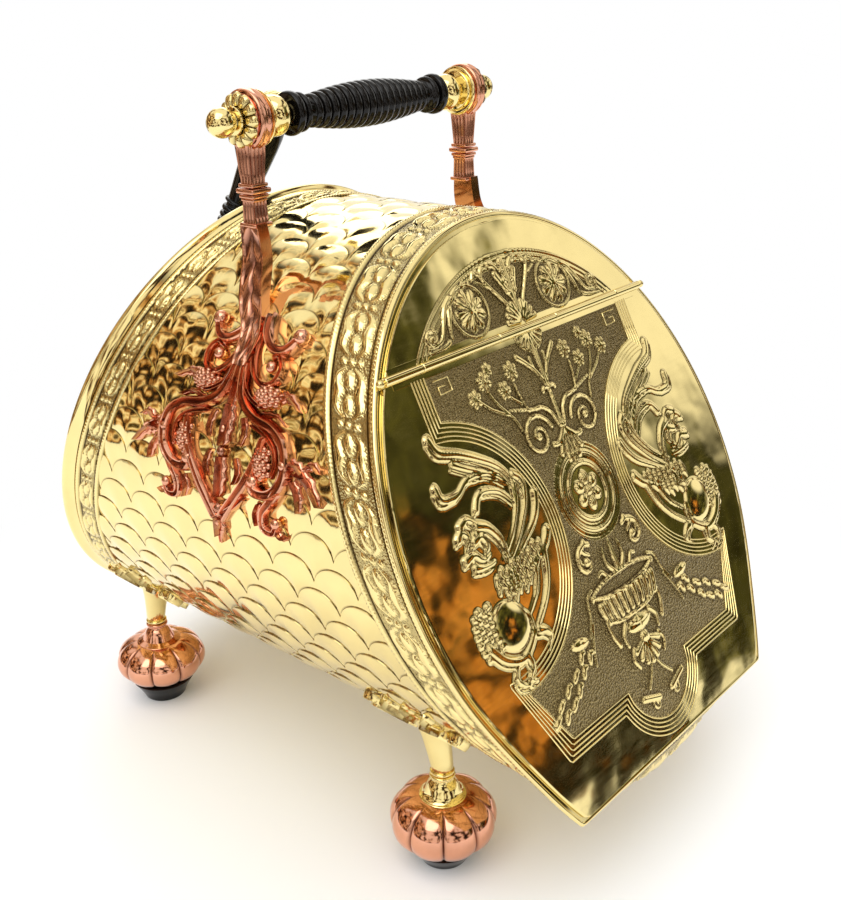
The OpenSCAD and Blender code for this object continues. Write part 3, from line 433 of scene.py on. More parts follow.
class Chasing:
    """The heights of an embossed sheet in mm, worked up as a chaser does, over points x, y."""

    def __init__(self, x, y):
        self.x, self.y = x, y
        self.high = np.zeros_like(x)

    def _near(self, low_x, high_x, low_y, high_y):
        return (self.x > low_x) & (self.x < high_x) & (self.y > low_y) & (self.y < high_y)

    def stroke(self, points, wide_from, wide_to, high, steps=6, vein=0.0):
        """A raised rounded bar along a smooth line, with a groove down its middle if it has a vein."""
        line = smooth_line(points, steps)
        along = np.r_[0, np.cumsum(np.hypot(*np.diff(line, axis=0).T))]
        along /= along[-1]
        reach = max(wide_from, wide_to)
        for i in range(len(line) - 1):
            (ax, ay), (bx, by) = line[i], line[i + 1]
            near = self._near(min(ax, bx) - reach, max(ax, bx) + reach,
                              min(ay, by) - reach, max(ay, by) + reach)
            if not near.any():
                continue
            x, y = self.x[near], self.y[near]
            dx, dy = bx - ax, by - ay
            t = np.clip(((x - ax) * dx + (y - ay) * dy) / (dx * dx + dy * dy + 1e-9), 0, 1)
            far = np.hypot(x - ax - t * dx, y - ay - t * dy)
            share = along[i] + t * (along[i + 1] - along[i])
            half = (wide_from + (wide_to - wide_from) * share) / 2
            q = np.clip(far / half, 0, 1)
            h = high * np.sqrt(1 - q * q) * np.clip(half / reach * 2.4, 0.35, 1)
            h = h - vein * high * np.clip(1 - q * 2.6, 0, 1)
            self.high[near] = np.maximum(self.high[near], h)

    def ring(self, cx, cy, r, wide, high, where=1.0):
        far = np.abs(np.hypot(self.x - cx, self.y - cy) - r)
        self.high = np.maximum(self.high, high * np.sqrt(np.clip(1 - (far / (wide / 2)) ** 2, 0, 1)) * where)

    def knob(self, cx, cy, rx, ry, high, turn=0.0):
        c, s = math.cos(math.radians(turn)), math.sin(math.radians(turn))
        dx, dy = self.x - cx, self.y - cy
        q = ((dx * c + dy * s) / rx) ** 2 + ((dy * c - dx * s) / ry) ** 2
        self.high = np.maximum(self.high, high * np.sqrt(np.clip(1 - q, 0, 1)))

    def flower(self, cx, cy, r, petals, high, turn=0.0):
        dx, dy = self.x - cx, self.y - cy
        far, a = np.hypot(dx, dy), np.arctan2(dy, dx) + math.radians(turn)
        petal = np.abs(np.cos(petals / 2 * a)) ** 0.7
        q = np.clip(far / (r * (0.72 + 0.28 * petal)), 0, 1)
        h = high * petal * np.sin(np.pi * np.clip(0.15 + 0.85 * q, 0, 1)) ** 0.6
        self.high = np.maximum(self.high, np.where(q < 1, h, 0))
        self.knob(cx, cy, r * 0.26, r * 0.26, high * 1.1)

    def fan(self, cx, cy, r, start, end, count, wide, high):
        for t in np.linspace(start, end, count):
            a = math.radians(t)
            self.stroke([(cx + 0.2 * r * math.cos(a), cy + 0.2 * r * math.sin(a)),
                         (cx + r * math.cos(a), cy + r * math.sin(a))], wide * 0.5, wide, high, 3)

    def spiral(self, cx, cy, r_from, r_to, start, turns, wide_from, wide_to, high):
        t = np.linspace(0, 1, 24)
        a = np.radians(start) + turns * 2 * np.pi * t
        r = r_from + (r_to - r_from) * t
        self.stroke(np.stack([cx + r * np.cos(a), cy + r * np.sin(a)], -1), wide_from, wide_to, high, 1)
        self.knob(cx, cy, r_to * 0.8, r_to * 0.8, high * 1.15)


# ------------------------------------------------------------------ drawings of the ornament
# Millimetres in the lid's plane: X across from the middle, Y up the slope from the hinge.
# The right half is drawn, and the left is its mirror image.

ROUND_X, ROUND_Y, ROUND_R = 110.0, -107.0, 77.0
MEDALLION_Y, TONGUE_Y, TONGUE_R = -104.0, -216.0, 34.0
BORDER_STEPS = (0.0, 2.5, 5.0, 7.5, 10.0)

WINGED_BEAST = [
    # points, width from, width to, height
    ([(111, -37), (107, -45), (94, -50), (82, -56), (69, -64), (62, -72), (57, -85)], 3.4, 2.4, 1.6),
    ([(119, -62), (117, -69), (105, -70), (94, -65), (80, -66), (68, -70)], 3.0, 2.6, 1.5),
    ([(100, -54), (90, -60), (78, -66), (66, -76)], 2.2, 2.0, 1.0),
    ([(96, -82), (91, -76), (84, -75), (73, -79), (65, -88)], 2.6, 2.0, 1.4),
    ([(58, -74), (54, -78), (54, -85), (59, -94), (73, -108), (84, -115)], 2.6, 2.0, 1.5),
    ([(60, -78), (64, -90), (76, -104), (87, -111)], 2.0, 1.6, 1.1),
    ([(46, -89), (50, -97), (60, -106), (84, -118)], 3.0, 1.8, 1.3),
    ([(48, -112), (54, -118), (64, -122), (82, -123)], 3.4, 1.6, 1.4),
    ([(56, -119), (61, -133), (70, -145), (84, -156), (94, -164)], 2.2, 2.6, 1.5),
    ([(66, -124), (74, -138), (86, -147)], 2.0, 1.6, 1.0),
    ([(100, -90), (92, -94), (86, -103), (85, -113)], 3.4, 3.0, 1.7),
    ([(112, -86), (106, -84), (101, -88), (104, -93)], 3.0, 2.0, 1.6),
    ([(117, -92), (113, -89), (109, -93), (112, -98)], 3.0, 2.0, 1.6),
    ([(106, -97), (100, -96), (97, -102), (101, -106)], 3.0, 2.0, 1.6),
    ([(117, -104), (110, -103), (104, -108), (98, -107)], 3.4, 2.2, 1.7),
    ([(112, -110), (104, -112), (96, -112)], 2.8, 2.0, 1.4),
    ([(124, -152), (117, -161), (106, -166), (97, -164), (88, -156), (88, -146), (96, -141)], 3.6, 2.6, 1.9),
    ([(84, -158), (79, -160), (76, -164), (79, -168)], 3.2, 2.0, 1.5),
    ([(100, -166), (99, -173), (104, -178), (99, -181)], 3.0, 2.0, 1.6),
    ([(108, -165), (113, -172), (111, -178), (104, -181)], 2.4, 2.0, 1.4),
]


def chase_lid(lid):
    # lily, strap and stars under the hinge
    lid.fan(0, -1, 12, 270, 350, 5, 3.2, 0.9)
    lid.ring(0, -1, 13, 1.6, 0.8, where=lid.y < -1)
    lid.stroke([(0, -38), (0, -28), (0, -15)], 2.6, 5.0, 1.3, vein=0.4)
    lid.stroke([(0, -38), (4, -28), (11, -20), (18, -14)], 2.0, 3.6, 1.2, vein=0.3)
    lid.stroke([(1, -36), (6, -25), (7, -17)], 1.6, 2.4, 0.9)
    lid.stroke([(0, -37), (5, -37), (6, -39)], 2.6, 2.0, 1.5)
    lid.stroke([(0, -38), (0, -60)], 3.0, 3.0, 1.2, vein=0.5)
    # volutes and the stems that rise from them
    lid.spiral(24, -62, 14, 3.0, 170, -1.45, 2.4, 1.6, 1.4)
    lid.stroke([(3, -60), (6, -52), (12, -47), (20, -46), (28, -44), (40, -41)], 2.6, 1.4, 1.4)
    lid.stroke([(24, -46), (27, -36), (28, -28)], 1.6, 1.2, 1.1)
    lid.stroke([(36, -54), (39, -46), (48, -34), (52, -25)], 1.6, 1.2, 1.0)
    lid.stroke([(42, -43), (54, -36), (62, -28)], 1.6, 1.2, 1.0)
    lid.stroke([(28, -40), (34, -35), (37, -32)], 1.4, 1.0, 0.9)
    for x, y, r in ((27, -20, 6.5), (38, -29, 6.0), (52, -20, 6.5), (64, -27, 6.0), (46, -14, 4.5)):
        lid.flower(x, y, r, 6, 1.3, turn=x * 3)
    # tuft between the volutes
    for x, y in ((0, -84), (5, -82), (10, -77), (14, -70)):
        lid.stroke([(0, -62), (x * 0.6, -70), (x, y)], 2.0, 3.4, 1.2)
    lid.knob(0, -61, 4, 2.2, 1.6)
    # medallion
    for r, wide, high in ((29.5, 0.9, 0.35), (27, 0.9, 0.35), (24, 2.0, 0.8), (21.4, 1.0, 0.4), (17.4, 2.2, 0.9)):
        lid.ring(0, MEDALLION_Y, r, wide, high)
    for t in range(30, 390, 60):
        a = math.radians(t)
        lid.knob(7.6 * math.cos(a), MEDALLION_Y + 7.6 * math.sin(a), 4.6, 3.4, 1.6, t)
    lid.knob(0, MEDALLION_Y, 3.4, 3.4, 1.9)
    # urn: handles, rim, gadroons, bowl, drapery and foot
    lid.spiral(25, -141, 11, 3.4, 125, -0.78, 3.2, 2.2, 1.6)
    lid.stroke([(22, -129), (26, -134), (21, -138)], 3.2, 2.0, 1.3)
    lid.stroke([(27, -133), (31, -136), (29, -141)], 2.6, 1.8, 1.1)
    lid.stroke([(0, -155), (0, -146), (0, -136)], 6.0, 2.4, 1.5, vein=0.2)
    lid.stroke([(4, -155), (9, -148), (8, -139)], 3.6, 1.8, 1.3)
    lid.stroke([(12, -156), (16, -151), (20, -152)], 3.0, 2.0, 1.2)
    lid.stroke([(0, -156), (18, -157), (30, -160), (33, -163)], 2.6, 2.0, 1.6)
    lid.stroke([(0, -167.5), (18, -166), (28, -163.5), (33, -161)], 2.6, 2.2, 1.8)
    for x in (0, 6.4, 12.6, 18.4, 23.6, 28):
        lid.stroke([(x, -168.5), (x * 0.97, -174), (x * 0.9, -180)], 5.4, 3.4, 1.7)
    lid.stroke([(0, -183.5), (16, -182.5), (26, -179)], 2.2, 2.0, 1.3)
    lid.knob(0, -190, 13, 5.0, 1.5)
    lid.stroke([(0, -189), (8, -188)], 2.0, 1.6, 2.0)
    lid.stroke([(26, -172), (28, -180), (27, -188), (24, -195)], 2.0, 3.4, 1.2)
    lid.stroke([(13, -186), (18, -192), (17, -199)], 3.6, 2.2, 1.3)
    for t in (-90, -66, -42, -18):
        a = math.radians(t)
        lid.stroke([(1.5 * math.cos(a), -199 + 3 * math.sin(a)), (13 * math.cos(a), -200 + 15 * math.sin(a))],
                   2.0, 4.0, 1.4)
    lid.knob(0, -199, 4.5, 3.5, 1.8)
    lid.stroke([(14, -202), (17, -208), (14, -214)], 3.0, 2.0, 1.2)
    lid.stroke([(3, -216), (7, -222), (13, -228)], 1.8, 1.8, 1.0)
    lid.stroke([(7, -236), (22, -231)], 4.2, 4.2, 1.3)
    lid.spiral(11, -238, 4.0, 1.2, 60, -1.0, 1.6, 1.2, 0.9)
    # festoon of leaf and husks
    lid.stroke([(31, -157), (37, -160), (40, -170), (46, -180)], 2.0, 1.4, 1.1)
    lid.stroke([(40, -174), (47, -187), (50, -196)], 1.6, 1.2, 1.0)
    lid.knob(57, -179, 8.5, 3.4, 1.5, turn=8)
    lid.stroke([(50, -180), (64, -178)], 1.0, 0.8, 1.9)
    for x, y, turn in ((53, -189, -70), (60, -186, -60), (62, -194, -60), (70, -193, -40), (71, -201, -60),
                       (80, -197, -50), (79, -206, -40), (90, -202, -35), (88, -209, -60), (97, -208, -30)):
        lid.knob(x, y, 4.6, 2.1, 1.3, turn)
        lid.knob(x - 3, y + 2, 2.0, 1.6, 1.5)
    for points, wide_from, wide_to, high in WINGED_BEAST:
        lid.stroke(points, wide_from * 1.9, wide_to * 0.7, high * 1.15, 6, vein=0.25)
        lid.stroke([(x + 3.0, y - 2.6) for x, y in points], 1.8, 0.8, high * 0.8, 6)
    # scaled body and the feathers of the breast
    lid.knob(103, -147, 15, 14, 2.2, turn=30)
    for i in range(4):
        for j in range(6):
            lid.knob(117 + i * 4.0 - (j - 2.5) ** 2 * 0.4, -131 - j * 4.6 - (i % 2) * 2.3,
                     2.6, 2.2, 1.5 - 0.1 * i)
    for i in range(9):
        for j in range(4):
            x, y = 58 + i * 5.2, -117 - j * 4.4 - i * 0.7 + (i % 2) * 2.0
            if (x - 103) ** 2 + (y + 142) ** 2 > 150 and y > -119 - (x - 54) * 0.75:
                lid.stroke([(x, y + 2), (x + 2.4, y - 2.6)], 3.4, 1.6, 1.2 + 0.1 * j, 2)
    lid.flower(90, -126, 8, 9, 1.3)


def lid_ground(x, y):
    """1 on the matted ground inside the lid's border, 0 on the polished parts."""
    inside = (y < -4) & (y > -221) & np.where(y > -150, x < 95.4, x < 108)
    inside &= (y > -186) | (x < 107.6 - (-186 - y) * 0.54)
    inside |= (np.hypot(x, y - TONGUE_Y) < 33.4) & (y < -200)
    inside &= np.hypot(x - ROUND_X, y - ROUND_Y) > ROUND_R + 0.8
    inside &= np.hypot(x, y - MEDALLION_Y) > 30.4
    return inside.astype(float)


def border_lines():
    """The border's fine raised lines: from the hinge, round each side round, along the hem and
    the tongue."""
    lines = []
    for step in BORDER_STEPS:
        r, tongue = ROUND_R - step, TONGUE_R + step
        start = math.acos((96 + step - ROUND_X) / r)
        line = [(96 + step, -5), (96 + step, -20)]
        line += [(ROUND_X + r * math.cos(a), ROUND_Y + r * math.sin(a))
                 for a in np.linspace(start, math.radians(271), 64)]
        line += [(109 + 1.1 * step, -184 + step), (108.6 + 1.1 * step, -186 + step),
                 (90.6 + 0.8 * step, -219.6 - step), (89 + 0.8 * step, -221 - step), (33 + 0.9 * step, -221 - step)]
        line += [(tongue * math.cos(a), TONGUE_Y + tongue * math.sin(a))
                 for a in np.linspace(math.radians(-22), -math.pi / 2, 24)]
        lines.append(line)
    # the small key at each upper corner
    lines.append([(91, -9), (78, -9), (78, -17), (88, -17), (88, -13), (82.5, -13)])
    return lines


def chase_arch(arch):
    # daisies ringed by leaves
    arch.ring(41, 20.5, 15.5, 1.8, 0.9)
    arch.flower(41, 20.5, 13.5, 9, 1.5)
    arch.flower(41, 20.5, 7, 8, 1.7)
    # fan at the hinge and the spray above it
    arch.fan(0, 4, 13, 10, 90, 5, 4.0, 1.3)
    arch.stroke([(0, 16), (0, 28), (0, 42)], 4.0, 5.6, 1.4, vein=0.3)
    arch.stroke([(0, 18), (5, 28), (9, 36)], 3.0, 4.4, 1.3, vein=0.3)
    arch.stroke([(2, 30), (7, 40), (12, 43)], 3.0, 3.6, 1.2)
    for y in (24, 31, 37):
        arch.knob(3.4, y, 2.4, 1.8, 1.8)
    arch.stroke([(4, 12), (10, 20), (17, 29), (22, 37), (19, 42)], 2.4, 2.6, 1.3)
    arch.stroke([(22, 38), (27, 41), (30, 37)], 2.4, 2.0, 1.2)
    arch.stroke([(17, 29), (24, 33), (28, 35)], 2.0, 1.4, 1.0)
    # scrolls that run out to the ends
    arch.stroke([(54, 31), (60, 27), (66, 18), (72, 10), (82, 8)], 3.6, 2.0, 1.3)
    arch.stroke([(57, 25), (61, 17), (63, 9)], 4.0, 2.0, 1.3, vein=0.3)
    arch.spiral(78, 13, 5.5, 1.8, -60, 1.2, 1.8, 1.4, 1.2)
    arch.stroke([(66, 8), (72, 6), (88, 5)], 3.0, 1.4, 1.0)
    for r in (126.6, 123.4, 120.4):
        arch.ring(0, -79, r, 1.1, 0.5)


def arch_ground(x, y):
    return ((np.hypot(x, y + 79) < 119) & (y > 4)).astype(float)


def chase_band(band, pitch, length, narrow):
    """Paired husk leaves between three-dot flowers: X along the band, Y across it from its middle."""
    s = narrow
    turns = int(round(length / pitch))
    pitch = length / turns
    band.x = (band.x + pitch / 2) % pitch - pitch / 2
    for y in (0, 5.4, -5.4):
        band.knob(0, y * s, 2.3 * s, 2.3 * s, 1.5)
    for side in (-1, 1):
        # a long pod on each side between a pair of pointed leaves
        band.knob(side * pitch * 0.3, 0, pitch * 0.185, 3.2 * s, 2.1)
        for flank in (-1, 1):
            band.stroke([(side * 3.6, flank * 2.8 * s), (side * 9, flank * 7.8 * s),
                         (side * (pitch / 2 - 0.2), flank * 6.8 * s)], 2.0 * s, 6.4 * s, 2.0, 5, vein=0.1)


# ------------------------------------------------------------------ finishes


def hex_colour(text):
    """An sRGB hex value as the linear colour that a shader takes."""
    channels = [int(text.lstrip("#")[i:i + 2], 16) / 255 for i in (0, 2, 4)]
    return tuple(c / 12.92 if c <= 0.04045 else ((c + 0.055) / 1.055) ** 2.4 for c in channels) + (1.0,)


def add_node(tree, kind, settings=None, links=None):
    """Adds a node, sets its properties or input values, and links its inputs to other sockets."""
    node = tree.nodes.new(kind)
    for key, value in (settings or {}).items():
        if isinstance(key, str) and hasattr(node, key):
            setattr(node, key, value)
        else:
            node.inputs[key].default_value = value
    for key, socket in (links or {}).items():
        tree.links.new(socket, node.inputs[key])
    return node


def empty_tree(owner):
    """The node tree of a material or world, emptied."""
    owner.use_nodes = True
    owner.node_tree.nodes.clear()
    return owner.node_tree


def new_material(name):
    material = bpy.data.materials.new(name)
    tree = empty_tree(material)
    shader = add_node(tree, "ShaderNodeBsdfPrincipled")
    add_node(tree, "ShaderNodeOutputMaterial", links={"Surface": shader.outputs["BSDF"]})
    return material, tree, shader


def colour_ramp(tree, fac, stops):
    """A value's colour on a ramp of (position, colour) stops."""
    ramp = add_node(tree, "ShaderNodeValToRGB", links={"Fac": fac})
    elements = ramp.color_ramp.elements
    elements[0].position, elements[0].color = stops[0]
    elements[1].position, elements[1].color = stops[-1]
    for position, colour in stops[1:-1]:
        elements.new(position).color = colour
    return ramp.outputs["Color"]


WHITE = (1.0, 1.0, 1.0, 1.0)


def smooth_step(tree, value, low, high):
    """0 below low, 1 above high, and smooth between them."""
    return add_node(tree, "ShaderNodeMapRange",
                    {"interpolation_type": "SMOOTHSTEP", "From Min": low, "From Max": high},
                    {"Value": value}).outputs["Result"]


def seen_directly(tree):
    """1 where the camera looks straight at something or through it, 0 in reflections and light."""
    path = add_node(tree, "ShaderNodeLightPath")
    return add_node(tree, "ShaderNodeMath", {"operation": "MAXIMUM"},
                    {0: path.outputs["Is Camera Ray"], 1: path.outputs["Is Transmission Ray"]}).outputs[0]


def polished_metal(name, colour, shade, roughness, dents, mottle):
    """Sheet or cast metal polished by hand: a bright colour with tarnish in patches, soft dents of
    about 35 mm that bend its reflections, and fine wiping scratches."""
    material, tree, shader = new_material(name)
    place = add_node(tree, "ShaderNodeTexCoord").outputs["Object"]
    patches = add_node(tree, "ShaderNodeTexNoise", {"Scale": 24.0, "Detail": 4.0, "Roughness": 0.6},
                       {"Vector": place})
    spread = colour_ramp(tree, patches.outputs["Fac"], [(0.42, (0, 0, 0, 1)), (0.78, (mottle,) * 3 + (1,))])
    mix = add_node(tree, "ShaderNodeMix", {"data_type": "RGBA", 6: hex_colour(colour), 7: hex_colour(shade)},
                   {0: spread})
    tree.links.new(mix.outputs[2], shader.inputs["Base Color"])
    shader.inputs["Metallic"].default_value = 1.0
    wiping = add_node(tree, "ShaderNodeMapping", {"Scale": (60.0, 900.0, 60.0), "Rotation": (0.3, 0.2, 0.9)},
                      {"Vector": place})
    scratches = add_node(tree, "ShaderNodeTexNoise", {"Scale": 1.0, "Detail": 3.0}, {"Vector": wiping.outputs[0]})
    rough = add_node(tree, "ShaderNodeMapRange",
                     {"From Min": 0.3, "From Max": 0.75, "To Min": roughness * 0.8, "To Max": roughness * 1.25},
                     {"Value": scratches.outputs["Fac"]})
    tree.links.new(rough.outputs["Result"], shader.inputs["Roughness"])
    waves = add_node(tree, "ShaderNodeTexNoise", {"Scale": 28.0, "Detail": 1.5, "Roughness": 0.45},
                     {"Vector": place})
    bump = add_node(tree, "ShaderNodeBump", {"Strength": dents, "Distance": 0.004},
                    {"Height": waves.outputs["Fac"]})
    tree.links.new(bump.outputs["Normal"], shader.inputs["Normal"])
    return material, tree, shader, mix.outputs[2], bump.outputs["Normal"], place


def kept_value(tree, name):
    return add_node(tree, "ShaderNodeAttribute", {"attribute_name": name}).outputs["Fac"]


def tarnished_and_shaded(tree, shader, metal, shade, amount):
    """A metal's colour darkened by an amount of tarnish and painted shade from 0 to 1, which also dulls it."""
    mix = add_node(tree, "ShaderNodeMix", {"data_type": "RGBA", 7: hex_colour(shade)}, {0: amount, 6: metal})
    polish = shader.inputs["Roughness"].links[0].from_socket
    duller = add_node(tree, "ShaderNodeMath", {"operation": "MULTIPLY_ADD", 1: 0.2}, {0: amount, 2: polish})
    tree.links.new(duller.outputs[0], shader.inputs["Roughness"])
    return mix.outputs[2]


def chased_brass(colours):
    """Embossed sheet brass: the same polished metal, tarnished in its hollows and on its ground, with painted shade
    in the hollows that turns to near-black painted shadow in the deepest, and punched all over the ground with a
    blunt point, a dot about every 1.4 mm."""
    material, tree, shader, metal, dents, place = polished_metal(
        "chased_sheet_brass", colours.brass, colours.brass_shade, 0.09, 0.3, 0.12)
    # ground carries tarnish on the matted ground; the hollows' value carries painted shade with some tarnish
    ground, shade_and_tarnish = kept_value(tree, "ground"), kept_value(tree, "shade_and_tarnish")
    dots = add_node(tree, "ShaderNodeTexVoronoi", {"Scale": 700.0, "feature": "F1"}, {"Vector": place})
    punched = add_node(tree, "ShaderNodeMath", {"operation": "MULTIPLY"},
                       {0: dots.outputs["Distance"], 1: ground})
    mat = add_node(tree, "ShaderNodeBump", {"Strength": 0.55, "Distance": 0.0012},
                   {"Height": punched.outputs[0], "Normal": dents})
    tree.links.new(mat.outputs["Normal"], shader.inputs["Normal"])
    dark = add_node(tree, "ShaderNodeMath", {"operation": "MULTIPLY_ADD", 1: 0.74, "use_clamp": True},
                    {0: ground, 2: shade_and_tarnish}).outputs[0]
    brown = tarnished_and_shaded(tree, shader, metal, colours.brass_shade, dark)
    # near-black painted shadow in the deepest hollows and gaps, where the hollows' value passes 0.6
    deepest_shade = add_node(tree, "ShaderNodeMapRange", {"From Min": 0.6, "From Max": 1.0, "To Max": 0.85},
                       {"Value": shade_and_tarnish})
    painted_shadow = add_node(tree, "ShaderNodeMix", {"data_type": "RGBA", 7: hex_colour("#140C04")},
                     {0: deepest_shade.outputs["Result"], 6: brown})
    tree.links.new(painted_shadow.outputs[2], shader.inputs["Base Color"])
    return material


def cast_copper(colours):
    """Cast and polished copper, or copper-washed brass: rosy, with brown tarnish and painted shade in the hollows."""
    material, tree, shader, metal, _, _ = polished_metal(
        "cast_polished_copper", colours.copper, colours.copper_shade, 0.12, 0.2, 0.3)
    brown = tarnished_and_shaded(tree, shader, metal, colours.copper_shade, kept_value(tree, "shade_and_tarnish"))
    tree.links.new(brown, shader.inputs["Base Color"])
    return material


def turned_brass(colours):
    """Rolled and turned brass, brighter and smoother than the embossed sheet."""
    return polished_metal("turned_polished_brass", colours.brass, colours.brass_shade, 0.08, 0.12, 0.12)[0]


def ebonised_wood(colours):
    """Beech or pear turned, stained black and French polished: near black, glossy, with faint grain
    a millimetre or so apart."""
    material, tree, shader = new_material("ebonised_polished_wood")
    place = add_node(tree, "ShaderNodeTexCoord").outputs["Object"]
    stretched = add_node(tree, "ShaderNodeMapping", {"Scale": (60.0, 900.0, 900.0)}, {"Vector": place})
    grain = add_node(tree, "ShaderNodeTexNoise", {"Scale": 1.0, "Detail": 3.0}, {"Vector": stretched.outputs[0]})
    colour = colour_ramp(tree, grain.outputs["Fac"], [(0.35, hex_colour(colours.wood)), (0.8, hex_colour("#0F0C0A"))])
    tree.links.new(colour, shader.inputs["Base Color"])
    rough = add_node(tree, "ShaderNodeMapRange", {"To Min": 0.05, "To Max": 0.12}, {"Value": grain.outputs["Fac"]})
    tree.links.new(rough.outputs["Result"], shader.inputs["Roughness"])
    shader.inputs["IOR"].default_value = 1.5
    shader.inputs["Specular IOR Level"].default_value = 0.27
    return material


def dull_steel(colours):
    """Mild steel rod, wiped and handled: grey with a fine drawn grain."""
    material, tree, shader = new_material("drawn_mild_steel")
    place = add_node(tree, "ShaderNodeTexCoord").outputs["Object"]
    noise = add_node(tree, "ShaderNodeTexNoise", {"Scale": 220.0, "Detail": 3.0}, {"Vector": place})
    rough = add_node(tree, "ShaderNodeMapRange", {"To Min": 0.25, "To Max": 0.5}, {"Value": noise.outputs["Fac"]})
    tree.links.new(rough.outputs["Result"], shader.inputs["Roughness"])
    shader.inputs["Base Color"].default_value = hex_colour(colours.steel)
    shader.inputs["Metallic"].default_value = 1.0
    return material


def black_sheet(colours):
    """Sheet iron painted black, rubbed by coal: matt with paler scuffs a few millimetres wide."""
    material, tree, shader = new_material("black_painted_sheet_iron")
    place = add_node(tree, "ShaderNodeTexCoord").outputs["Object"]
    scuffs = add_node(tree, "ShaderNodeTexNoise", {"Scale": 90.0, "Detail": 6.0, "Roughness": 0.7}, {"Vector": place})
    colour = colour_ramp(tree, scuffs.outputs["Fac"],
                         [(0.45, hex_colour(colours.sheet)), (0.8, hex_colour("#4A4642"))])
    tree.links.new(colour, shader.inputs["Base Color"])
    shader.inputs["Roughness"].default_value = 0.55
    return material


FINISHES = {"brass": turned_brass, "chased": chased_brass, "copper": cast_copper,
            "wood": ebonised_wood, "steel": dull_steel, "sheet": black_sheet}
MATERIALS = {}


def finish_of(name):
    """Each finish is made once and shared by the pieces that take it."""
    if name not in MATERIALS:
        MATERIALS[name] = FINISHES[name](bpy.context.scene.scuttle_colours)
    return MATERIALS[name]


# ------------------------------------------------------------------ the pieces


class SCUTTLE_OT_drum(bpy.types.Operator):
    """Covers the drum between its bands with rows of domed fish scales"""

    bl_idname = "scuttle.drum"
    bl_label = "Scaled drum"

    def execute(self, context):
        sizes = context.scene.scuttle_sizes
        width, pitch = sizes.scale_width / MM, sizes.scale_pitch / MM
        step, dome = sizes.scale_step / MM, sizes.scale_dome / MM
        half = width / 2
        y = np.arange(HINGE[1] - 100, HINGE[1] + 292, width / 22)

        def edge(row):
            from_peak = (y - HINGE[1] - 6.8 + (row % 2) * half + half) % width - half
            # each scale's edge is a round arch
            arch = 1 - np.sqrt(1 - (0.988 * np.abs(from_peak) / half) ** 2)
            return 251.6 + row * pitch + 0.88 * pitch * arch, from_peak

        rounds, shades = [], []
        bottom = math.pi * DRUM_R
        for row in range(-46, 16):
            here, from_peak = edge(row)
            below, _ = edge(row + 1)
            # the riser under each scale's edge and the first row below it carry painted shade, a thin dark line
            for j, t in enumerate((-1, 0, 0.05, 0.14, 0.28, 0.44, 0.6, 0.77, 0.93)):
                if j == 0:
                    s, high, shade = here - 0.25, 0 * here, 0 * here + 0.7
                else:
                    s = here + t * (below - 0.25 - here)
                    puff = (np.cos(np.pi * from_peak / (width * 1.02)) ** 2
                            * math.sin(math.pi * min(1, t * 0.95 + 0.05)))
                    high = step * (1 - t) + dome * puff
                    shade = 0 * here + (0.25 if j == 1 else 0.0)
                rounds.append(on_drum(-np.clip(s, -bottom, bottom) / DRUM_R, y, 0.25 + high))
                shades.append(shade)
        obj, (row, column) = grid_piece("drum_scales", np.array(rounds), away_from=(0, HINGE[1] + 100, AXIS_Z))
        note_value(obj, "shade_and_tarnish", np.array(shades)[row, column])
        note_value(obj, "ground")
        # the scales end under the two bands
        with editing(obj):
            for point, out in ((on_lid(0.0, 0.0, -BAND_W), OUT_OF_LID),
                               ((0, BACK_Y - 27 / math.cos(RAKE), AXIS_Z), OUT_OF_BACK)):
                bpy.ops.mesh.select_all(action="SELECT")
                bpy.ops.mesh.bisect(plane_co=tuple(np.array(point) * MM), plane_no=tuple(out), clear_outer=True)
        finished(obj, "scuttle", "brass", "chased", angle=50)
        return {"FINISHED"}


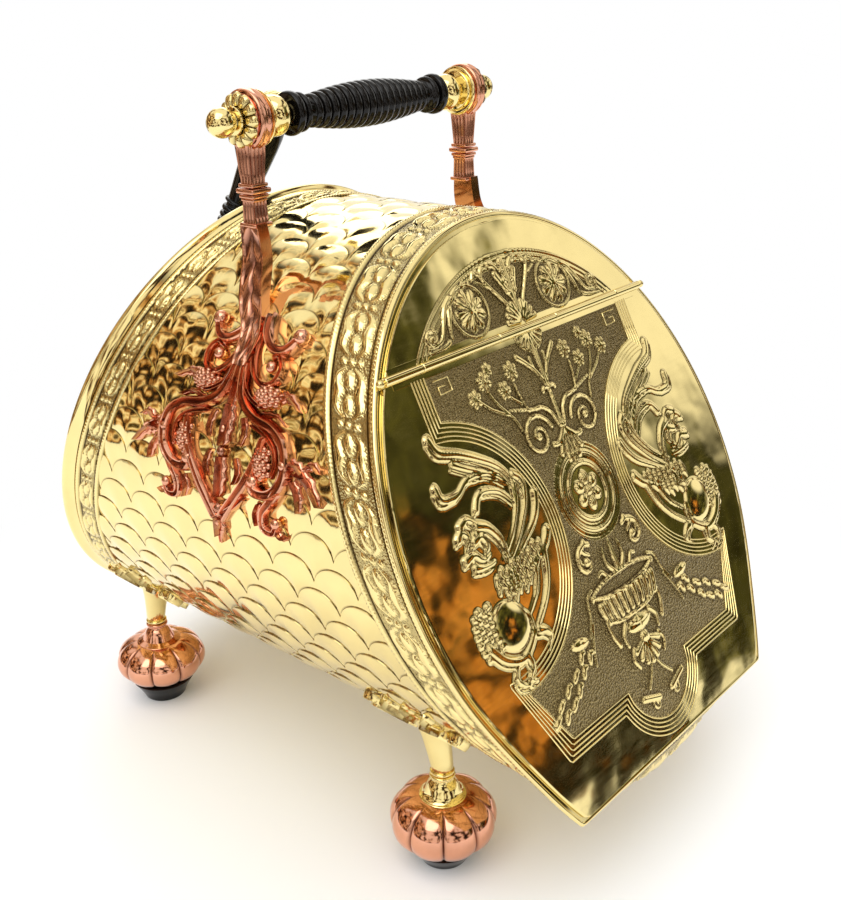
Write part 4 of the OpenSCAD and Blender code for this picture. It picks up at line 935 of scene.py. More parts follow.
class SCUTTLE_OT_bands(bpy.types.Operator):
    """Lays the beaded and embossed bands round the drum's two ends, and rolls the back rim"""

    bl_idname = "scuttle.bands"
    bl_label = "Bands and rim"

    @staticmethod
    def band(name, surface, depth_from, depth_to, lift, around, pitch, narrow):
        a = np.linspace(-np.pi, np.pi, around + 1)
        depth = np.linspace(depth_from, depth_to, int(abs(depth_to - depth_from) / 0.85) + 1)
        middle = surface(a, (depth_from + depth_to) / 2, 0)
        along = np.r_[0, np.cumsum(np.linalg.norm(np.diff(middle, axis=0), axis=1))]
        grid_s, grid_d = np.meshgrid(along, depth - (depth_from + depth_to) / 2)
        half = abs(depth_to - depth_from) / 2
        chasing = Chasing(grid_s.copy(), grid_d)
        chase_band(chasing, pitch, along[-1], narrow)
        ornament = chasing.high.copy()
        # two milled beads, one along each edge, notched every 2.6 mm
        from_edge = half - np.abs(grid_d)
        milled = 0.82 + 0.18 * np.cos(2 * np.pi * grid_s / 2.6)
        bead = 1.7 * milled * np.sqrt(np.clip(1 - ((from_edge - 2.2) / 2.0) ** 2, 0, 1))
        high = lift + np.maximum(ornament, bead)
        ground = ((ornament < 0.12) & (from_edge > 5)).astype(float)
        # painted shade in the groove inside each bead and along the sheet's edges
        shade_and_tarnish = np.where((np.abs(from_edge - 4.6) < 0.7) | (from_edge < 0.3), 0.7, 0.0)
        rows_a = np.tile(a, (len(depth), 1))
        rows_d = np.tile(depth[:, None], (1, len(a)))
        points = surface(rows_a, rows_d, high)
        # the sheet's edges turn down to the drum
        first, last = surface(a, depth[0], -0.3 + 0 * a), surface(a, depth[-1], -0.3 + 0 * a)
        points = np.concatenate([first[None], points, last[None]])
        pad = ((1, 1), (0, 0))
        obj, (row, column) = grid_piece(name, points, away_from=points.reshape(-1, 3).mean(0))
        note_value(obj, "ground", 0.62 * np.pad(ground, pad)[row, column])
        # the turned-down edges carry dark painted shade
        note_value(obj, "shade_and_tarnish", np.pad(shade_and_tarnish, pad, constant_values=0.8)[row, column])
        weld_piece(obj, recalculate=False)
        return obj

    def execute(self, context):
        front = self.band("front_band_relief", on_band, 0.0, BAND_W, 1.2, 1060, 35.2, 1.0)
        finished(front, "scuttle", "brass", "chased", angle=60)
        back = self.band("back_band_relief", on_back_edge, -28.0, -3.0, 0.8, 1000, 32.0, 0.72)
        finished(back, "scuttle", "brass", "chased", "back_band", angle=60)
        # rolled rim: a flat flange that turns over a wire at its edge
        a = np.linspace(-np.pi, np.pi, 241)
        section = ([(-2.6, 0.2), (-2.6, 1.6), (0.5, 2.4), (2.5, 4.6)] + arc(4.6, 1.2, 4.3, 4.3, 100, -100, 10)
                   + [(1.0, -1.4), (0.0, -1.4)])
        points = np.array([on_back_edge(a, behind, out) for behind, out in section])
        rim, _ = grid_piece("rolled_back_rim", points, away_from=(0, BACK_Y, AXIS_Z))
        weld_piece(rim, recalculate=False)
        finished(rim, "scuttle", "brass", "brass", "back_rim", angle=40)
        # wired front edge, a bright line round the lid
        section = arc(1.1, 0.9, 1.7, 1.7, 0, 360, 10)
        a = np.linspace(-np.pi, np.pi, 481)
        wire, _ = grid_piece("wired_front_edge", np.array([on_band(a, d, o) for d, o in section]))
        weld_piece(wire)
        finished(wire, "scuttle", "brass", "brass", angle=60)
        return {"FINISHED"}


class SCUTTLE_OT_lid(bpy.types.Operator):
    """Embosses the lid: urn, medallion, volutes, festoons and a winged beast in each round"""

    bl_idname = "scuttle.lid"
    bl_label = "Lid"

    @staticmethod
    def plate(name, down_from, down_to, rows, columns, chase, ground_of, body, strength, *replaced):
        """The right half of an embossed plate of the front, with its edge turned down and its back
        closed, and its mirror image."""
        k = 1 - PLATE_INSET / DRUM_R
        middle = -HINGE_RISE / math.sin(SLOPE)
        slope_y = np.linspace(down_from, down_to, rows + 1)[:, None]
        u = np.linspace(0, 1, columns + 1)[None, :]
        inner_y = (slope_y - middle) / k + middle
        x = k * half_width(inner_y) * u
        y = slope_y + 0 * u
        chasing = Chasing(x, y)
        chase(chasing)

        def around(high):
            """The four heights beside each one, added up."""
            return sum(np.roll(high, step, axis) for step in (-1, 1) for axis in (0, 1))

        # the punch work is softened, as it is in real sheet
        ornament = 1.12 * (chasing.high * 2 + around(chasing.high)) / 6
        ground = ground_of(x, y) * np.clip(1 - ornament / 0.35, 0, 1)
        rim = k * half_width(inner_y) - x
        high = ornament * strength - 0.5 * np.clip(1 - rim / 1.2, 0, 1) ** 2
        points = on_lid(x, y, LID_TOP + high)
        obj, (row, column) = grid_piece(name + "_right", points, away_from=(0, HINGE[1] + 150, AXIS_Z))
        # painted shade, with some tarnish, in the hollows beside tall ornament
        soft = ornament
        for _ in range(2):
            soft = (soft + around(soft)) / 5
        shade_and_tarnish = np.clip((soft - ornament) * 2.2, 0, 0.85)
        note_value(obj, "ground", ground[row, column])
        note_value(obj, "shade_and_tarnish", shade_and_tarnish[row, column])
        with editing(obj, "DESELECT"):
            bpy.ops.mesh.select_mode(type="EDGE")
            bpy.ops.mesh.select_non_manifold()
            bpy.ops.mesh.extrude_edges_move()
            mesh = bmesh.from_edit_mesh(obj.data)
            normal, base = Vector(tuple(OUT_OF_LID)), Vector(tuple(HINGE * MM))
            kept = [mesh.verts.layers.float[value] for value in ("ground", "shade_and_tarnish")]
            for vert in mesh.verts:
                if vert.select:
                    vert.co -= normal * ((vert.co - base).dot(normal) - (LID_TOP - PLATE_THICK) * MM)
                    # the inside of the plate is smooth, with no tarnish and no painted shade
                    for value in kept:
                        vert[value] = 0.0
            bmesh.update_edit_mesh(obj.data)
            bpy.ops.mesh.edge_face_add()
        weld_piece(obj)
        twin = mirrored(obj, name + "_left")
        finished(twin, body, "brass", "chased", angle=50)
        finished(obj, body, "brass", "chased", *replaced, angle=50)

    @staticmethod
    def border():
        """The raised lines are laid on the plate as half rounds 1 mm wide."""
        q, h = np.array([-1, -0.6, 0, 0.6, 1, -1]), np.array([-0.4, 0.36, 0.5, 0.36, -0.4, -0.4])
        pieces = []
        for line in border_lines():
            line = np.array(line, float)
            step = np.gradient(line, axis=0)
            across = np.stack([-step[:, 1], step[:, 0]], -1) / np.linalg.norm(step, axis=1)[:, None]
            x = line[:, :1] + 0.52 * across[:, :1] * q
            y = line[:, 1:] + 0.52 * across[:, 1:] * q
            piece, _ = grid_piece("line", on_lid(x, y, LID_TOP + h + 0 * x))
            weld_piece(piece)
            pieces.append(piece)
        lines = joined("lid_border_right", pieces)
        note_value(lines, "ground")
        note_value(lines, "shade_and_tarnish")
        twin = mirrored(lines, "lid_border_left")
        finished(twin, "lid", "brass", "chased", angle=60)
        finished(lines, "lid", "brass", "chased", angle=60)

    def execute(self, context):
        strength = context.scene.scuttle_sizes.lid_relief
        self.plate("embossed_lid", -262.0, -2.9, 358, 220, chase_lid, lid_ground, "lid", strength,
                   "lid_plate", "lid_rivets")
        self.border()
        self.plate("embossed_arch", 2.9, 67.8, 96, 190, chase_arch, arch_ground, "scuttle", strength,
                   "arch_plate", "arch_rivets")
        return {"FINISHED"}


class SCUTTLE_OT_hinge(bpy.types.Operator):
    """Turns the hinge's knuckles round the pin, with thin leaves that pass under the plates"""

    bl_idname = "scuttle.hinge"
    bl_label = "Hinge"

    def execute(self, context):
        half = math.sqrt(DRUM_R**2 - HINGE_RISE**2) - 1
        ends = [-half, 30 - half, -28, 28, half - 30, half]
        knuckles = {"scuttle": [], "lid": []}
        for i in range(5):
            length = ends[i + 1] - ends[i] - 0.4
            knuckle = turned("knuckle", [(1.45, 0), (2.3, 0), (2.7, 0.4), (2.7, length - 0.4), (2.3, length),
                                         (1.45, length)], 32)
            start = ends[i] + 0.2
            placed(knuckle, lambda p: np.stack([start + p[:, 2], PIN[1] + p[:, 1], PIN[2] - p[:, 0]], -1))
            knuckles["lid" if i % 2 else "scuttle"].append(knuckle)
        for body, low, high in (("scuttle", 0.9, 6.0), ("lid", -6.0, -0.9)):
            clear_selection()
            bpy.ops.mesh.primitive_cube_add(size=1)
            strip = context.object
            modifier = strip.modifiers.new("edge", "BEVEL")
            modifier.width, modifier.segments = 0.04, 2
            bpy.ops.object.modifier_apply(modifier="edge")
            p = points_of(strip) * MM
            move_points(strip, on_lid(p[:, 0] * 2 * (half - 6), (low + high) / 2 + p[:, 1] * (high - low),
                                      1.45 + p[:, 2] * 0.7))
            knuckles[body].append(strip)
        for body, node in (("scuttle", "hinge_fixed_leaf"), ("lid", "hinge_lid_leaf")):
            piece = joined(body + "_hinge_leaf", knuckles[body])
            weld_piece(piece)
            finished(piece, body, "brass", "brass", node)
        return {"FINISHED"}


# ------------------------------------------------------------------ cast scrolls


def arc_place(z):
    """Distance round the drum from its top, for a height above its axis."""
    return DRUM_R * np.arccos(np.clip(np.asarray(z, float) / DRUM_R, -1, 1))


def scroll_bar(points, wide_from, wide_to, high, kind, heights=True):
    """One cast scroll or leaf on the drum's left flank, as rows of points (turn a, place y, out).
    points are (along the drum, height above its axis), or the distance round it if heights is off."""
    p = np.array(points, float)
    if heights:
        p[:, 1] = arc_place(p[:, 1])
    line = smooth_line(p, 7)
    step = np.gradient(line, axis=0)
    step /= np.linalg.norm(step, axis=1)[:, None] + 1e-9
    side = np.stack([-step[:, 1], step[:, 0]], -1)
    t = np.linspace(0, 1, len(line))
    q = np.linspace(-1, 1, 15)
    wide = (wide_from + (wide_to - wide_from) * t) / 2
    end = np.clip(np.minimum(t, 1 - t) / 0.07, 0, 1)
    rounded = np.sqrt(np.clip(1 - (1 - end) ** 2, 0.02, 1))
    if kind == "leaf":
        wide = wide * np.sin(np.pi * np.clip(0.08 + 0.9 * t, 0, 1)) ** 0.5 * (1 + 0.22 * np.sin(2 * np.pi * 4 * t))
        shape = np.sqrt(np.clip(1 - q**2, 0, 1)) * 0.7 + 0.5 * np.exp(-((q / 0.16) ** 2))
        shape = shape * (1 - 0.35 * np.exp(-(((np.abs(q) - 0.35) / 0.12) ** 2)))
    else:
        shape = np.sqrt(np.clip(1 - q**2, 0, 1)) * (1 - 0.55 * np.exp(-((q / 0.3) ** 2)))
        shape = shape * (1 + 0.18 * np.exp(-(((np.abs(q) - 0.55) / 0.2) ** 2)))
    wide = wide * rounded
    across = line[:, None, :] + side[:, None, :] * (wide[:, None] * q[None, :])[..., None]
    out = high * rounded[:, None] * shape[None, :] - 0.4 * (np.abs(q) > 0.99)[None, :]
    # painted shade down each bar's middle, and near-black painted shadow along its edges where it meets the drum
    return across[..., 1] / DRUM_R, across[..., 0], out, np.broadcast_to(
        0.6 * np.exp(-((q / 0.22) ** 2)) + 0.9 * (np.abs(q) > 0.95), out.shape)


def scroll_piece(middle_y, *form, **settings):
    """One scroll or leaf, its place along the drum counted from middle_y."""
    a, y, out, shade_and_tarnish = scroll_bar(*form, **settings)
    points = on_drum(-a, middle_y + y, out)
    obj, (row, column) = grid_piece("scroll", points, away_from=(0, middle_y, AXIS_Z))
    note_value(obj, "shade_and_tarnish", shade_and_tarnish[row, column])
    return obj


def berry_cluster(middle_y, y, z, wide, tall, count, high):
    """A bunch of small round grapes on the drum's left flank, copied from one berry."""
    clear_selection()
    bpy.ops.mesh.primitive_ico_sphere_add(subdivisions=2, radius=2.1 * MM)
    berry = bpy.context.object
    shape = points_of(berry)
    berries = [berry]
    golden = math.pi * (3 - math.sqrt(5))
    s_middle = arc_place(z)
    for i in range(count):
        r = math.sqrt((i + 0.5) / count)
        y_i, s_i = y + wide / 2 * r * math.cos(i * golden), s_middle + tall / 2 * r * math.sin(i * golden)
        centre = on_drum(np.array(-s_i / DRUM_R), middle_y + y_i, 2.0 + high * (1 - r * r))
        if i:
            berries.append(copied(berry, "berry", shape + centre))
        else:
            move_points(berry, shape + centre)
    cluster = joined("berries", berries)
    note_value(cluster, "shade_and_tarnish", 0.12)
    return cluster


BRACKET_SCROLLS = [
    # half of the side bracket: points, width from, width to, height, kind
    ([(4, 116), (9, 107), (18, 101), (27, 101), (34, 107)], 9.5, 6.5, 6.5, "scroll"),
    ([(3, 108), (6, 97), (12, 88), (21, 83.5), (29, 86), (31, 93), (26, 98), (20, 96)], 6.5, 4.2, 6.0, "scroll"),
    ([(2, 104), (4, 92), (8, 82), (16, 76), (26, 73)], 5.0, 3.4, 6.2, "scroll"),
    ([(2, 98), (5, 84), (10, 74), (22, 67.5), (38, 64.5), (49, 58), (53, 48), (51, 38), (43, 31), (32, 30), (28, 35)],
     7.0, 9.0, 7.0, "scroll"),
    ([(18, 64), (32, 60.5), (41, 55), (44, 47), (42, 39)], 4.5, 3.6, 4.6, "scroll"),
    ([(24, 70), (36, 71), (46, 67)], 5.0, 3.0, 4.5, "leaf"),
    ([(33, 79), (42, 81), (54, 76)], 10.0, 4.0, 4.5, "leaf"),
    ([(33, 60), (31, 50), (26, 38), (17, 25), (8, 14), (1, 5)], 5.5, 9.0, 6.6, "scroll"),
    ([(22, 24), (14, 17), (4, 10)], 4.5, 5.0, 5.0, "scroll"),
    ([(52, 50), (60, 50), (68, 46)], 9.0, 6.0, 5.0, "leaf"),
    ([(60, 46), (70, 44), (82, 33)], 13.0, 6.0, 5.5, "leaf"),
    ([(58, 42), (64, 35), (66, 26)], 9.0, 4.0, 4.8, "leaf"),
    ([(66, 50), (72, 53), (78, 50)], 7.0, 4.0, 4.2, "leaf"),
    ([(50, 36), (44, 27), (38, 19), (39, 11), (47, 10), (50, 16)], 8.5, 4.5, 5.5, "scroll"),
    ([(34, 24), (31, 17), (33, 10)], 6.0, 3.0, 4.4, "leaf"),
    ([(44, 14), (52, 8), (58, 10)], 5.0, 3.0, 4.0, "leaf"),
    ([(12, 66), (15, 58), (13, 50)], 6.0, 3.0, 4.0, "leaf"),
    ([(11, 44), (14, 36), (11, 28)], 5.0, 3.0, 4.0, "leaf"),
]
BRACKET_MIDDLE = [
    ([(0, 112), (0, 98), (0, 80)], 9.0, 6.0, 7.0, "scroll"),
    ([(0, 84), (0, 75), (0, 68)], 4.0, 7.0, 5.5, "leaf"),
    ([(0, 71), (0, 60), (0, 47)], 11.0, 9.0, 6.5, "leaf"),
    ([(0, 43), (0, 32), (0, 18)], 10.0, 9.0, 6.5, "leaf"),
    ([(0, 8), (0, 2), (0, -5)], 10.0, 6.0, 7.0, "leaf"),
    ([(0, -1), (0, -5), (0, -10)], 6.0, 2.5, 5.0, "scroll"),
]
BRACKET_MIDDLE_Y = HINGE[1] + 98.0


class SCUTTLE_OT_brackets(bpy.types.Operator):
    """Casts the openwork brackets of scrolls, leaves and grapes that carry the handle's arms"""

    bl_idname = "scuttle.brackets"
    bl_label = "Side brackets"

    def execute(self, context):
        pieces = []
        for points, *form in BRACKET_SCROLLS:
            for flank in (-1, 1):
                pieces.append(scroll_piece(BRACKET_MIDDLE_Y, [(flank * y, z) for y, z in points], *form))
        for form in BRACKET_MIDDLE:
            pieces.append(scroll_piece(BRACKET_MIDDLE_Y, *form))
        for flank in (-1, 1):
            pieces.append(berry_cluster(BRACKET_MIDDLE_Y, flank * 27, 79, 20, 12, 26, 3.6))
            pieces.append(berry_cluster(BRACKET_MIDDLE_Y, flank * 34, 46, 13, 19, 24, 3.4))
            for y, z, r in ((34.5, 108.5, 4.8), (22.5, 92.5, 3.6), (29, 35, 4.0), (49, 16, 3.2), (0, 45, 3.0),
                            (0, 12, 3.4)):
                clear_selection()
                bpy.ops.mesh.primitive_uv_sphere_add(segments=20, ring_count=12, radius=r * MM)
                ball = context.object
                move_points(ball, points_of(ball) + on_drum(np.array(-arc_place(z) / DRUM_R),
                                                           BRACKET_MIDDLE_Y + flank * y, 3.2))
                note_value(ball, "shade_and_tarnish")
                pieces.append(ball)
        pieces.append(self.carved_leaf())
        left = joined("cast_bracket_left", pieces)
        right = mirrored(left, "cast_bracket_right")
        finished(left, "scuttle", "copper", "copper", "bracket_left", angle=45)
        finished(right, "scuttle", "copper", "copper", "bracket_right", angle=45)
        return {"FINISHED"}

    @staticmethod
    def carved_leaf():
        """The square-edged leaf that leans from the bracket's middle up to the arm's foot."""
        foot = np.array([-96.9, GRIP[1], GRIP[2] - 58.5])
        path = smooth_line([foot, foot + [-1.0, -2.0, -20], [-108, GRIP[1] - 8, AXIS_Z + 124],
                            [-121, BRACKET_MIDDLE_Y + 3, AXIS_Z + 107], [-135, BRACKET_MIDDLE_Y, AXIS_Z + 90]], 9)
        step = np.gradient(path, axis=0)
        step /= np.linalg.norm(step, axis=1)[:, None]
        wide = np.array([0, 1.0, 0]) - step * step[:, 1:2]
        wide /= np.linalg.norm(wide, axis=1)[:, None]
        out = np.cross(wide, step)
        out *= -np.sign((out * np.array([1.0, 0, 0])).sum(1))[:, None]
        t = np.linspace(0, 1, len(path))
        half_wide = 7.4 + 1.6 * np.sin(np.pi * np.clip(t * 1.4, 0, 1)) - 2.0 * np.clip((t - 0.8) / 0.2, 0, 1)
        q = np.linspace(-1, 1, 17)
        ribs = 0.5 + 0.5 * np.cos(2 * np.pi * (5.5 * t[:, None] - 0.75 * np.abs(q)[None, :]))
        face = 1.5 * ribs * (1 - q[None, :] ** 2) ** 0.5
        face = np.where(np.abs(q)[None, :] > 0.85, 1.3, face) - 1.2 * np.exp(-((q[None, :] / 0.1) ** 2))
        loop_q = np.r_[-1, q, 1, -1]
        depth = np.concatenate([np.full((len(t), 1), -2.4), 4.2 + face, np.full((len(t), 2), -2.4)], 1)
        points = (path[:, None, :] + wide[:, None, :] * (half_wide[:, None] * loop_q[None, :])[..., None]
                  + out[:, None, :] * depth[..., None])
        leaf, (row, column) = grid_piece("leaf", points)
        # painted shade in the low parts of the leaf's ribbed face
        shade_and_tarnish = np.concatenate([np.zeros((len(t), 1)), np.clip(0.8 - face * 0.6, 0, 0.8), np.zeros((len(t), 2))], 1)
        note_value(leaf, "shade_and_tarnish", shade_and_tarnish[row, column])
        with editing(leaf):
            bpy.ops.mesh.remove_doubles(threshold=FINE_WELD)
            bpy.ops.mesh.select_all(action="DESELECT")
            bpy.ops.mesh.select_non_manifold()
            bpy.ops.mesh.fill_holes(sides=0)
            bpy.ops.mesh.select_all(action="SELECT")
            bpy.ops.mesh.normals_make_consistent(inside=False)
        return leaf


# ------------------------------------------------------------------ handle


def fluted_bar(name, x, z_from, z_to, wide_from, wide_to, flutes, depth):
    """A square bar standing on the arm's line, each face cut with rounded flutes."""
    around = np.linspace(0, 4, 4 * 16 + 1)
    face = np.floor(np.minimum(around, 3.999)).astype(int)
    along = (around - face) * 2 - 1
    inside = np.clip(1 - np.abs(along), 0, 1)
    groove = depth * (0.5 - 0.5 * np.cos(2 * np.pi * flutes * (along + 1) / 2)) * np.clip(inside * 5, 0, 1)
    rows, shade_and_tarnish = [], []
    for t in (0, 0.0, 0.08, 0.3, 0.5, 0.7, 0.92, 1.0, 1.0):
        half = (wide_from + (wide_to - wide_from) * t) / 2
        cut = groove * min(1, min(t, 1 - t) / 0.12)
        r = half - cut
        shrink = 0.0 if len(rows) in (0, 8) else 1.0
        px = np.where(face == 0, r, np.where(face == 1, -along * half, np.where(face == 2, -r, along * half)))
        py = np.where(face == 0, along * half, np.where(face == 1, r, np.where(face == 2, -along * half, -r)))
        z = GRIP[2] + z_from + (z_to - z_from) * t + 0 * px
        rows.append(np.stack([x + px * shrink, GRIP[1] + py * shrink, z], -1))
        # painted shade in the flutes, deepest where the cut is deepest
        shade_and_tarnish.append(np.clip(cut / depth, 0, 1) * 0.7)
    bar, (row, column) = grid_piece(name, np.array(rows))
    note_value(bar, "shade_and_tarnish", np.array(shade_and_tarnish)[row, column])
    weld_piece(bar)
    return bar


def moulded_block(name, x, z, wide, high, bevel):
    clear_selection()
    bpy.ops.mesh.primitive_cube_add(size=1)
    block = bpy.context.object
    block.name = block.data.name = name
    move_points(block, points_of(block) * MM * [wide, wide, high] + [x, GRIP[1], GRIP[2] + z])
    modifier = block.modifiers.new("edge", "BEVEL")
    modifier.width, modifier.segments, modifier.limit_method = bevel * MM, 3, "ANGLE"
    bpy.ops.object.modifier_apply(modifier="edge")
    note_value(block, "shade_and_tarnish")
    return block


BOSS_X = 96.4
BOSS_OUT = 102.4
BEAD_FROM = 67.4


class SCUTTLE_OT_arms(bpy.types.Operator):
    """Builds the copper arms: moulded boss, fluted neck, square knop and fluted shaft"""

    bl_idname = "scuttle.arms"
    bl_label = "Arms"

    def execute(self, context):
        for side, name in ((-1, "left"), (1, "right")):
            x = side * BOSS_X
            boss = turned("boss", [(4.02, -6), (12, -6)] + arc(13.2, -5.0, 1.6, 1.0, -90, 60, 4)
                          + arc(15.0, -2.4, 2.0, 1.6, -70, 40, 5) + [(16.4, 0)] + arc(15.0, 2.4, 2.0, 1.6, -40, 70, 5)
                          + arc(13.2, 5.0, 1.6, 1.0, -60, 90, 4) + [(12, 6), (4.02, 6), (4.02, -6)], 72)
            placed(boss, lying_along_x(x, 1))
            note_value(boss, "shade_and_tarnish")
            pieces = [
                boss,
                fluted_bar("neck", x, -36.5, -13.5, 9.6, 12.4, 4, 0.9),
                moulded_block("knop", x, -39.5, 15.0, 3.0, 1.1),
                moulded_block("knop", x, -36.4, 12.6, 2.2, 0.8),
                moulded_block("knop", x, -42.6, 12.6, 2.2, 0.8),
                moulded_block("knop", x, -44.6, 11.0, 2.0, 0.6),
                fluted_bar("shaft", x, -58.5, -44.5, 10.4, 9.6, 4, 0.9),
                moulded_block("cap", x, -59.0, 14.0, 2.4, 0.9),
            ]
            arm = joined("copper_arm_" + name, pieces)
            finished(arm, "scuttle", "copper", "copper", "arm_" + name)
        return {"FINISHED"}


class SCUTTLE_OT_grip(bpy.types.Operator):
    """Turns the ebonised grip, its brass beads, and the rosettes and ball finials outside the arms"""

    bl_idname = "scuttle.grip"
    bl_label = "Grip and finials"

    def execute(self, context):
        rings = context.scene.scuttle_sizes.grip_rings
        half, span, bore = 67.0, 50.0, 4.08
        profile = [(bore, -half), (11.6, -half)]
        profile += arc(11.4, -64.2, 1.5, 2.8, -90, 90, 6)
        profile += [(8.6, -60.6), (8.2, -59.6)] + arc(10.0, -57.2, 1.6, 1.9, -90, 90, 5)
        profile += [(8.2, -54.4), (7.6, -52.6)]
        pitch = 2 * span / rings
        for i in range(rings):
            z = -span + (i + 0.5) * pitch
            r = 9.0 + 5.2 * math.cos(math.radians(z / span * 84))
            profile += arc(r - 1.7, z, 1.7, pitch * 0.46, -90, 90, 6)
            profile += [(r - 2.1, z + pitch * 0.5)]
        profile += [(r, -z) for r, z in profile[:len(profile) - rings * 8][::-1]] + [(bore, -half)]
        grip = turned("turned_grip", profile, 64)
        placed(grip, lying_along_x(0, 1))
        finished(grip, "grip", "black_wood", "wood", "grip", angle=50)

        bead = turned("bead", [(4.02, 0.2), (5.6, 0.2)] + arc(0.6, 9.5, 11.2, 9.3, -62, 62, 14) + [(8.0, 18.6)]
                      + arc(11.6, 20.0, 1.6, 1.0, -90, 90, 5) + arc(14.2, 21.9, 1.6, 0.9, -90, 90, 5)
                      + [(4.02, 22.9), (4.02, 0.2)], 64)
        shape = points_of(bead)
        for side, name in ((-1, "left"), (1, "right")):
            one = bead if side > 0 else copied(bead, "bead")
            move_points(one, lying_along_x(side * BEAD_FROM, side)(shape))
            weld_piece(one)
            one.name = one.data.name = "brass_bead_" + name
            finished(one, "scuttle", "brass", "brass", "bead_" + name)

        # rosette of twelve cupped petals round a turned cap
        u = np.linspace(0, 2 * np.pi, 12 * 12 + 1)
        r_steps = np.r_[0, 4.0, 6, 7.5, 9, 10.5, 12, 13.2, 14.2, 15.0, 15.5]
        points, shade_and_tarnish = [], []
        petal = np.abs(np.cos(6 * u)) ** 0.55
        for i, r in enumerate(r_steps):
            reach = r * (1 - 0.13 * (1 - petal) * (r / 15.5) ** 2)
            lift = 0.9 + 2.6 * math.sin(math.pi * min(1, max(0, (r - 4.5) / 11.2))) ** 0.8 * (0.35 + 0.65 * petal)
            z = np.where(r <= 4.2, 3.4 + 0 * u, lift)
            if i == len(r_steps) - 1:
                z = 0.0 * u
            points.append(np.stack([reach * np.cos(u), reach * np.sin(u), z], -1))
            # painted shade between the petals
            shade_and_tarnish.append((1 - petal) * 0.8 * (r > 6))
        rosette, (row, column) = grid_piece("rosette", np.array(points))
        note_value(rosette, "shade_and_tarnish", np.array(shade_and_tarnish)[row, column])
        note_value(rosette, "ground")
        shape = points_of(rosette)
        finial = turned("finial", [(0, 0.6), (7.2, 0.6)] + arc(7.0, 1.6, 1.0, 1.0, -90, 90, 4)
                        + [(5.2, 3.2), (4.9, 4.6)] + arc(0, 10.3, 8.5, 8.5, -48, 90, 14), 64)
        ball = points_of(finial)
        for side, name in ((-1, "left"), (1, "right")):
            one = rosette if side > 0 else copied(rosette, "rosette")
            move_points(one, lying_along_x(side * BOSS_OUT, side)(shape))
            weld_piece(one)
            one.name = one.data.name = "petal_rosette_" + name
            finished(one, "scuttle", "brass", "chased", "rosette_" + name, angle=50)
            one = finial if side > 0 else copied(finial, "finial")
            move_points(one, lying_along_x(side * (BOSS_OUT + 3.0), side)(ball))
            weld_piece(one)
            one.name = one.data.name = "ball_finial_" + name
            finished(one, "scuttle", "brass", "brass", "finial_" + name)
        return {"FINISHED"}


# ------------------------------------------------------------------ feet


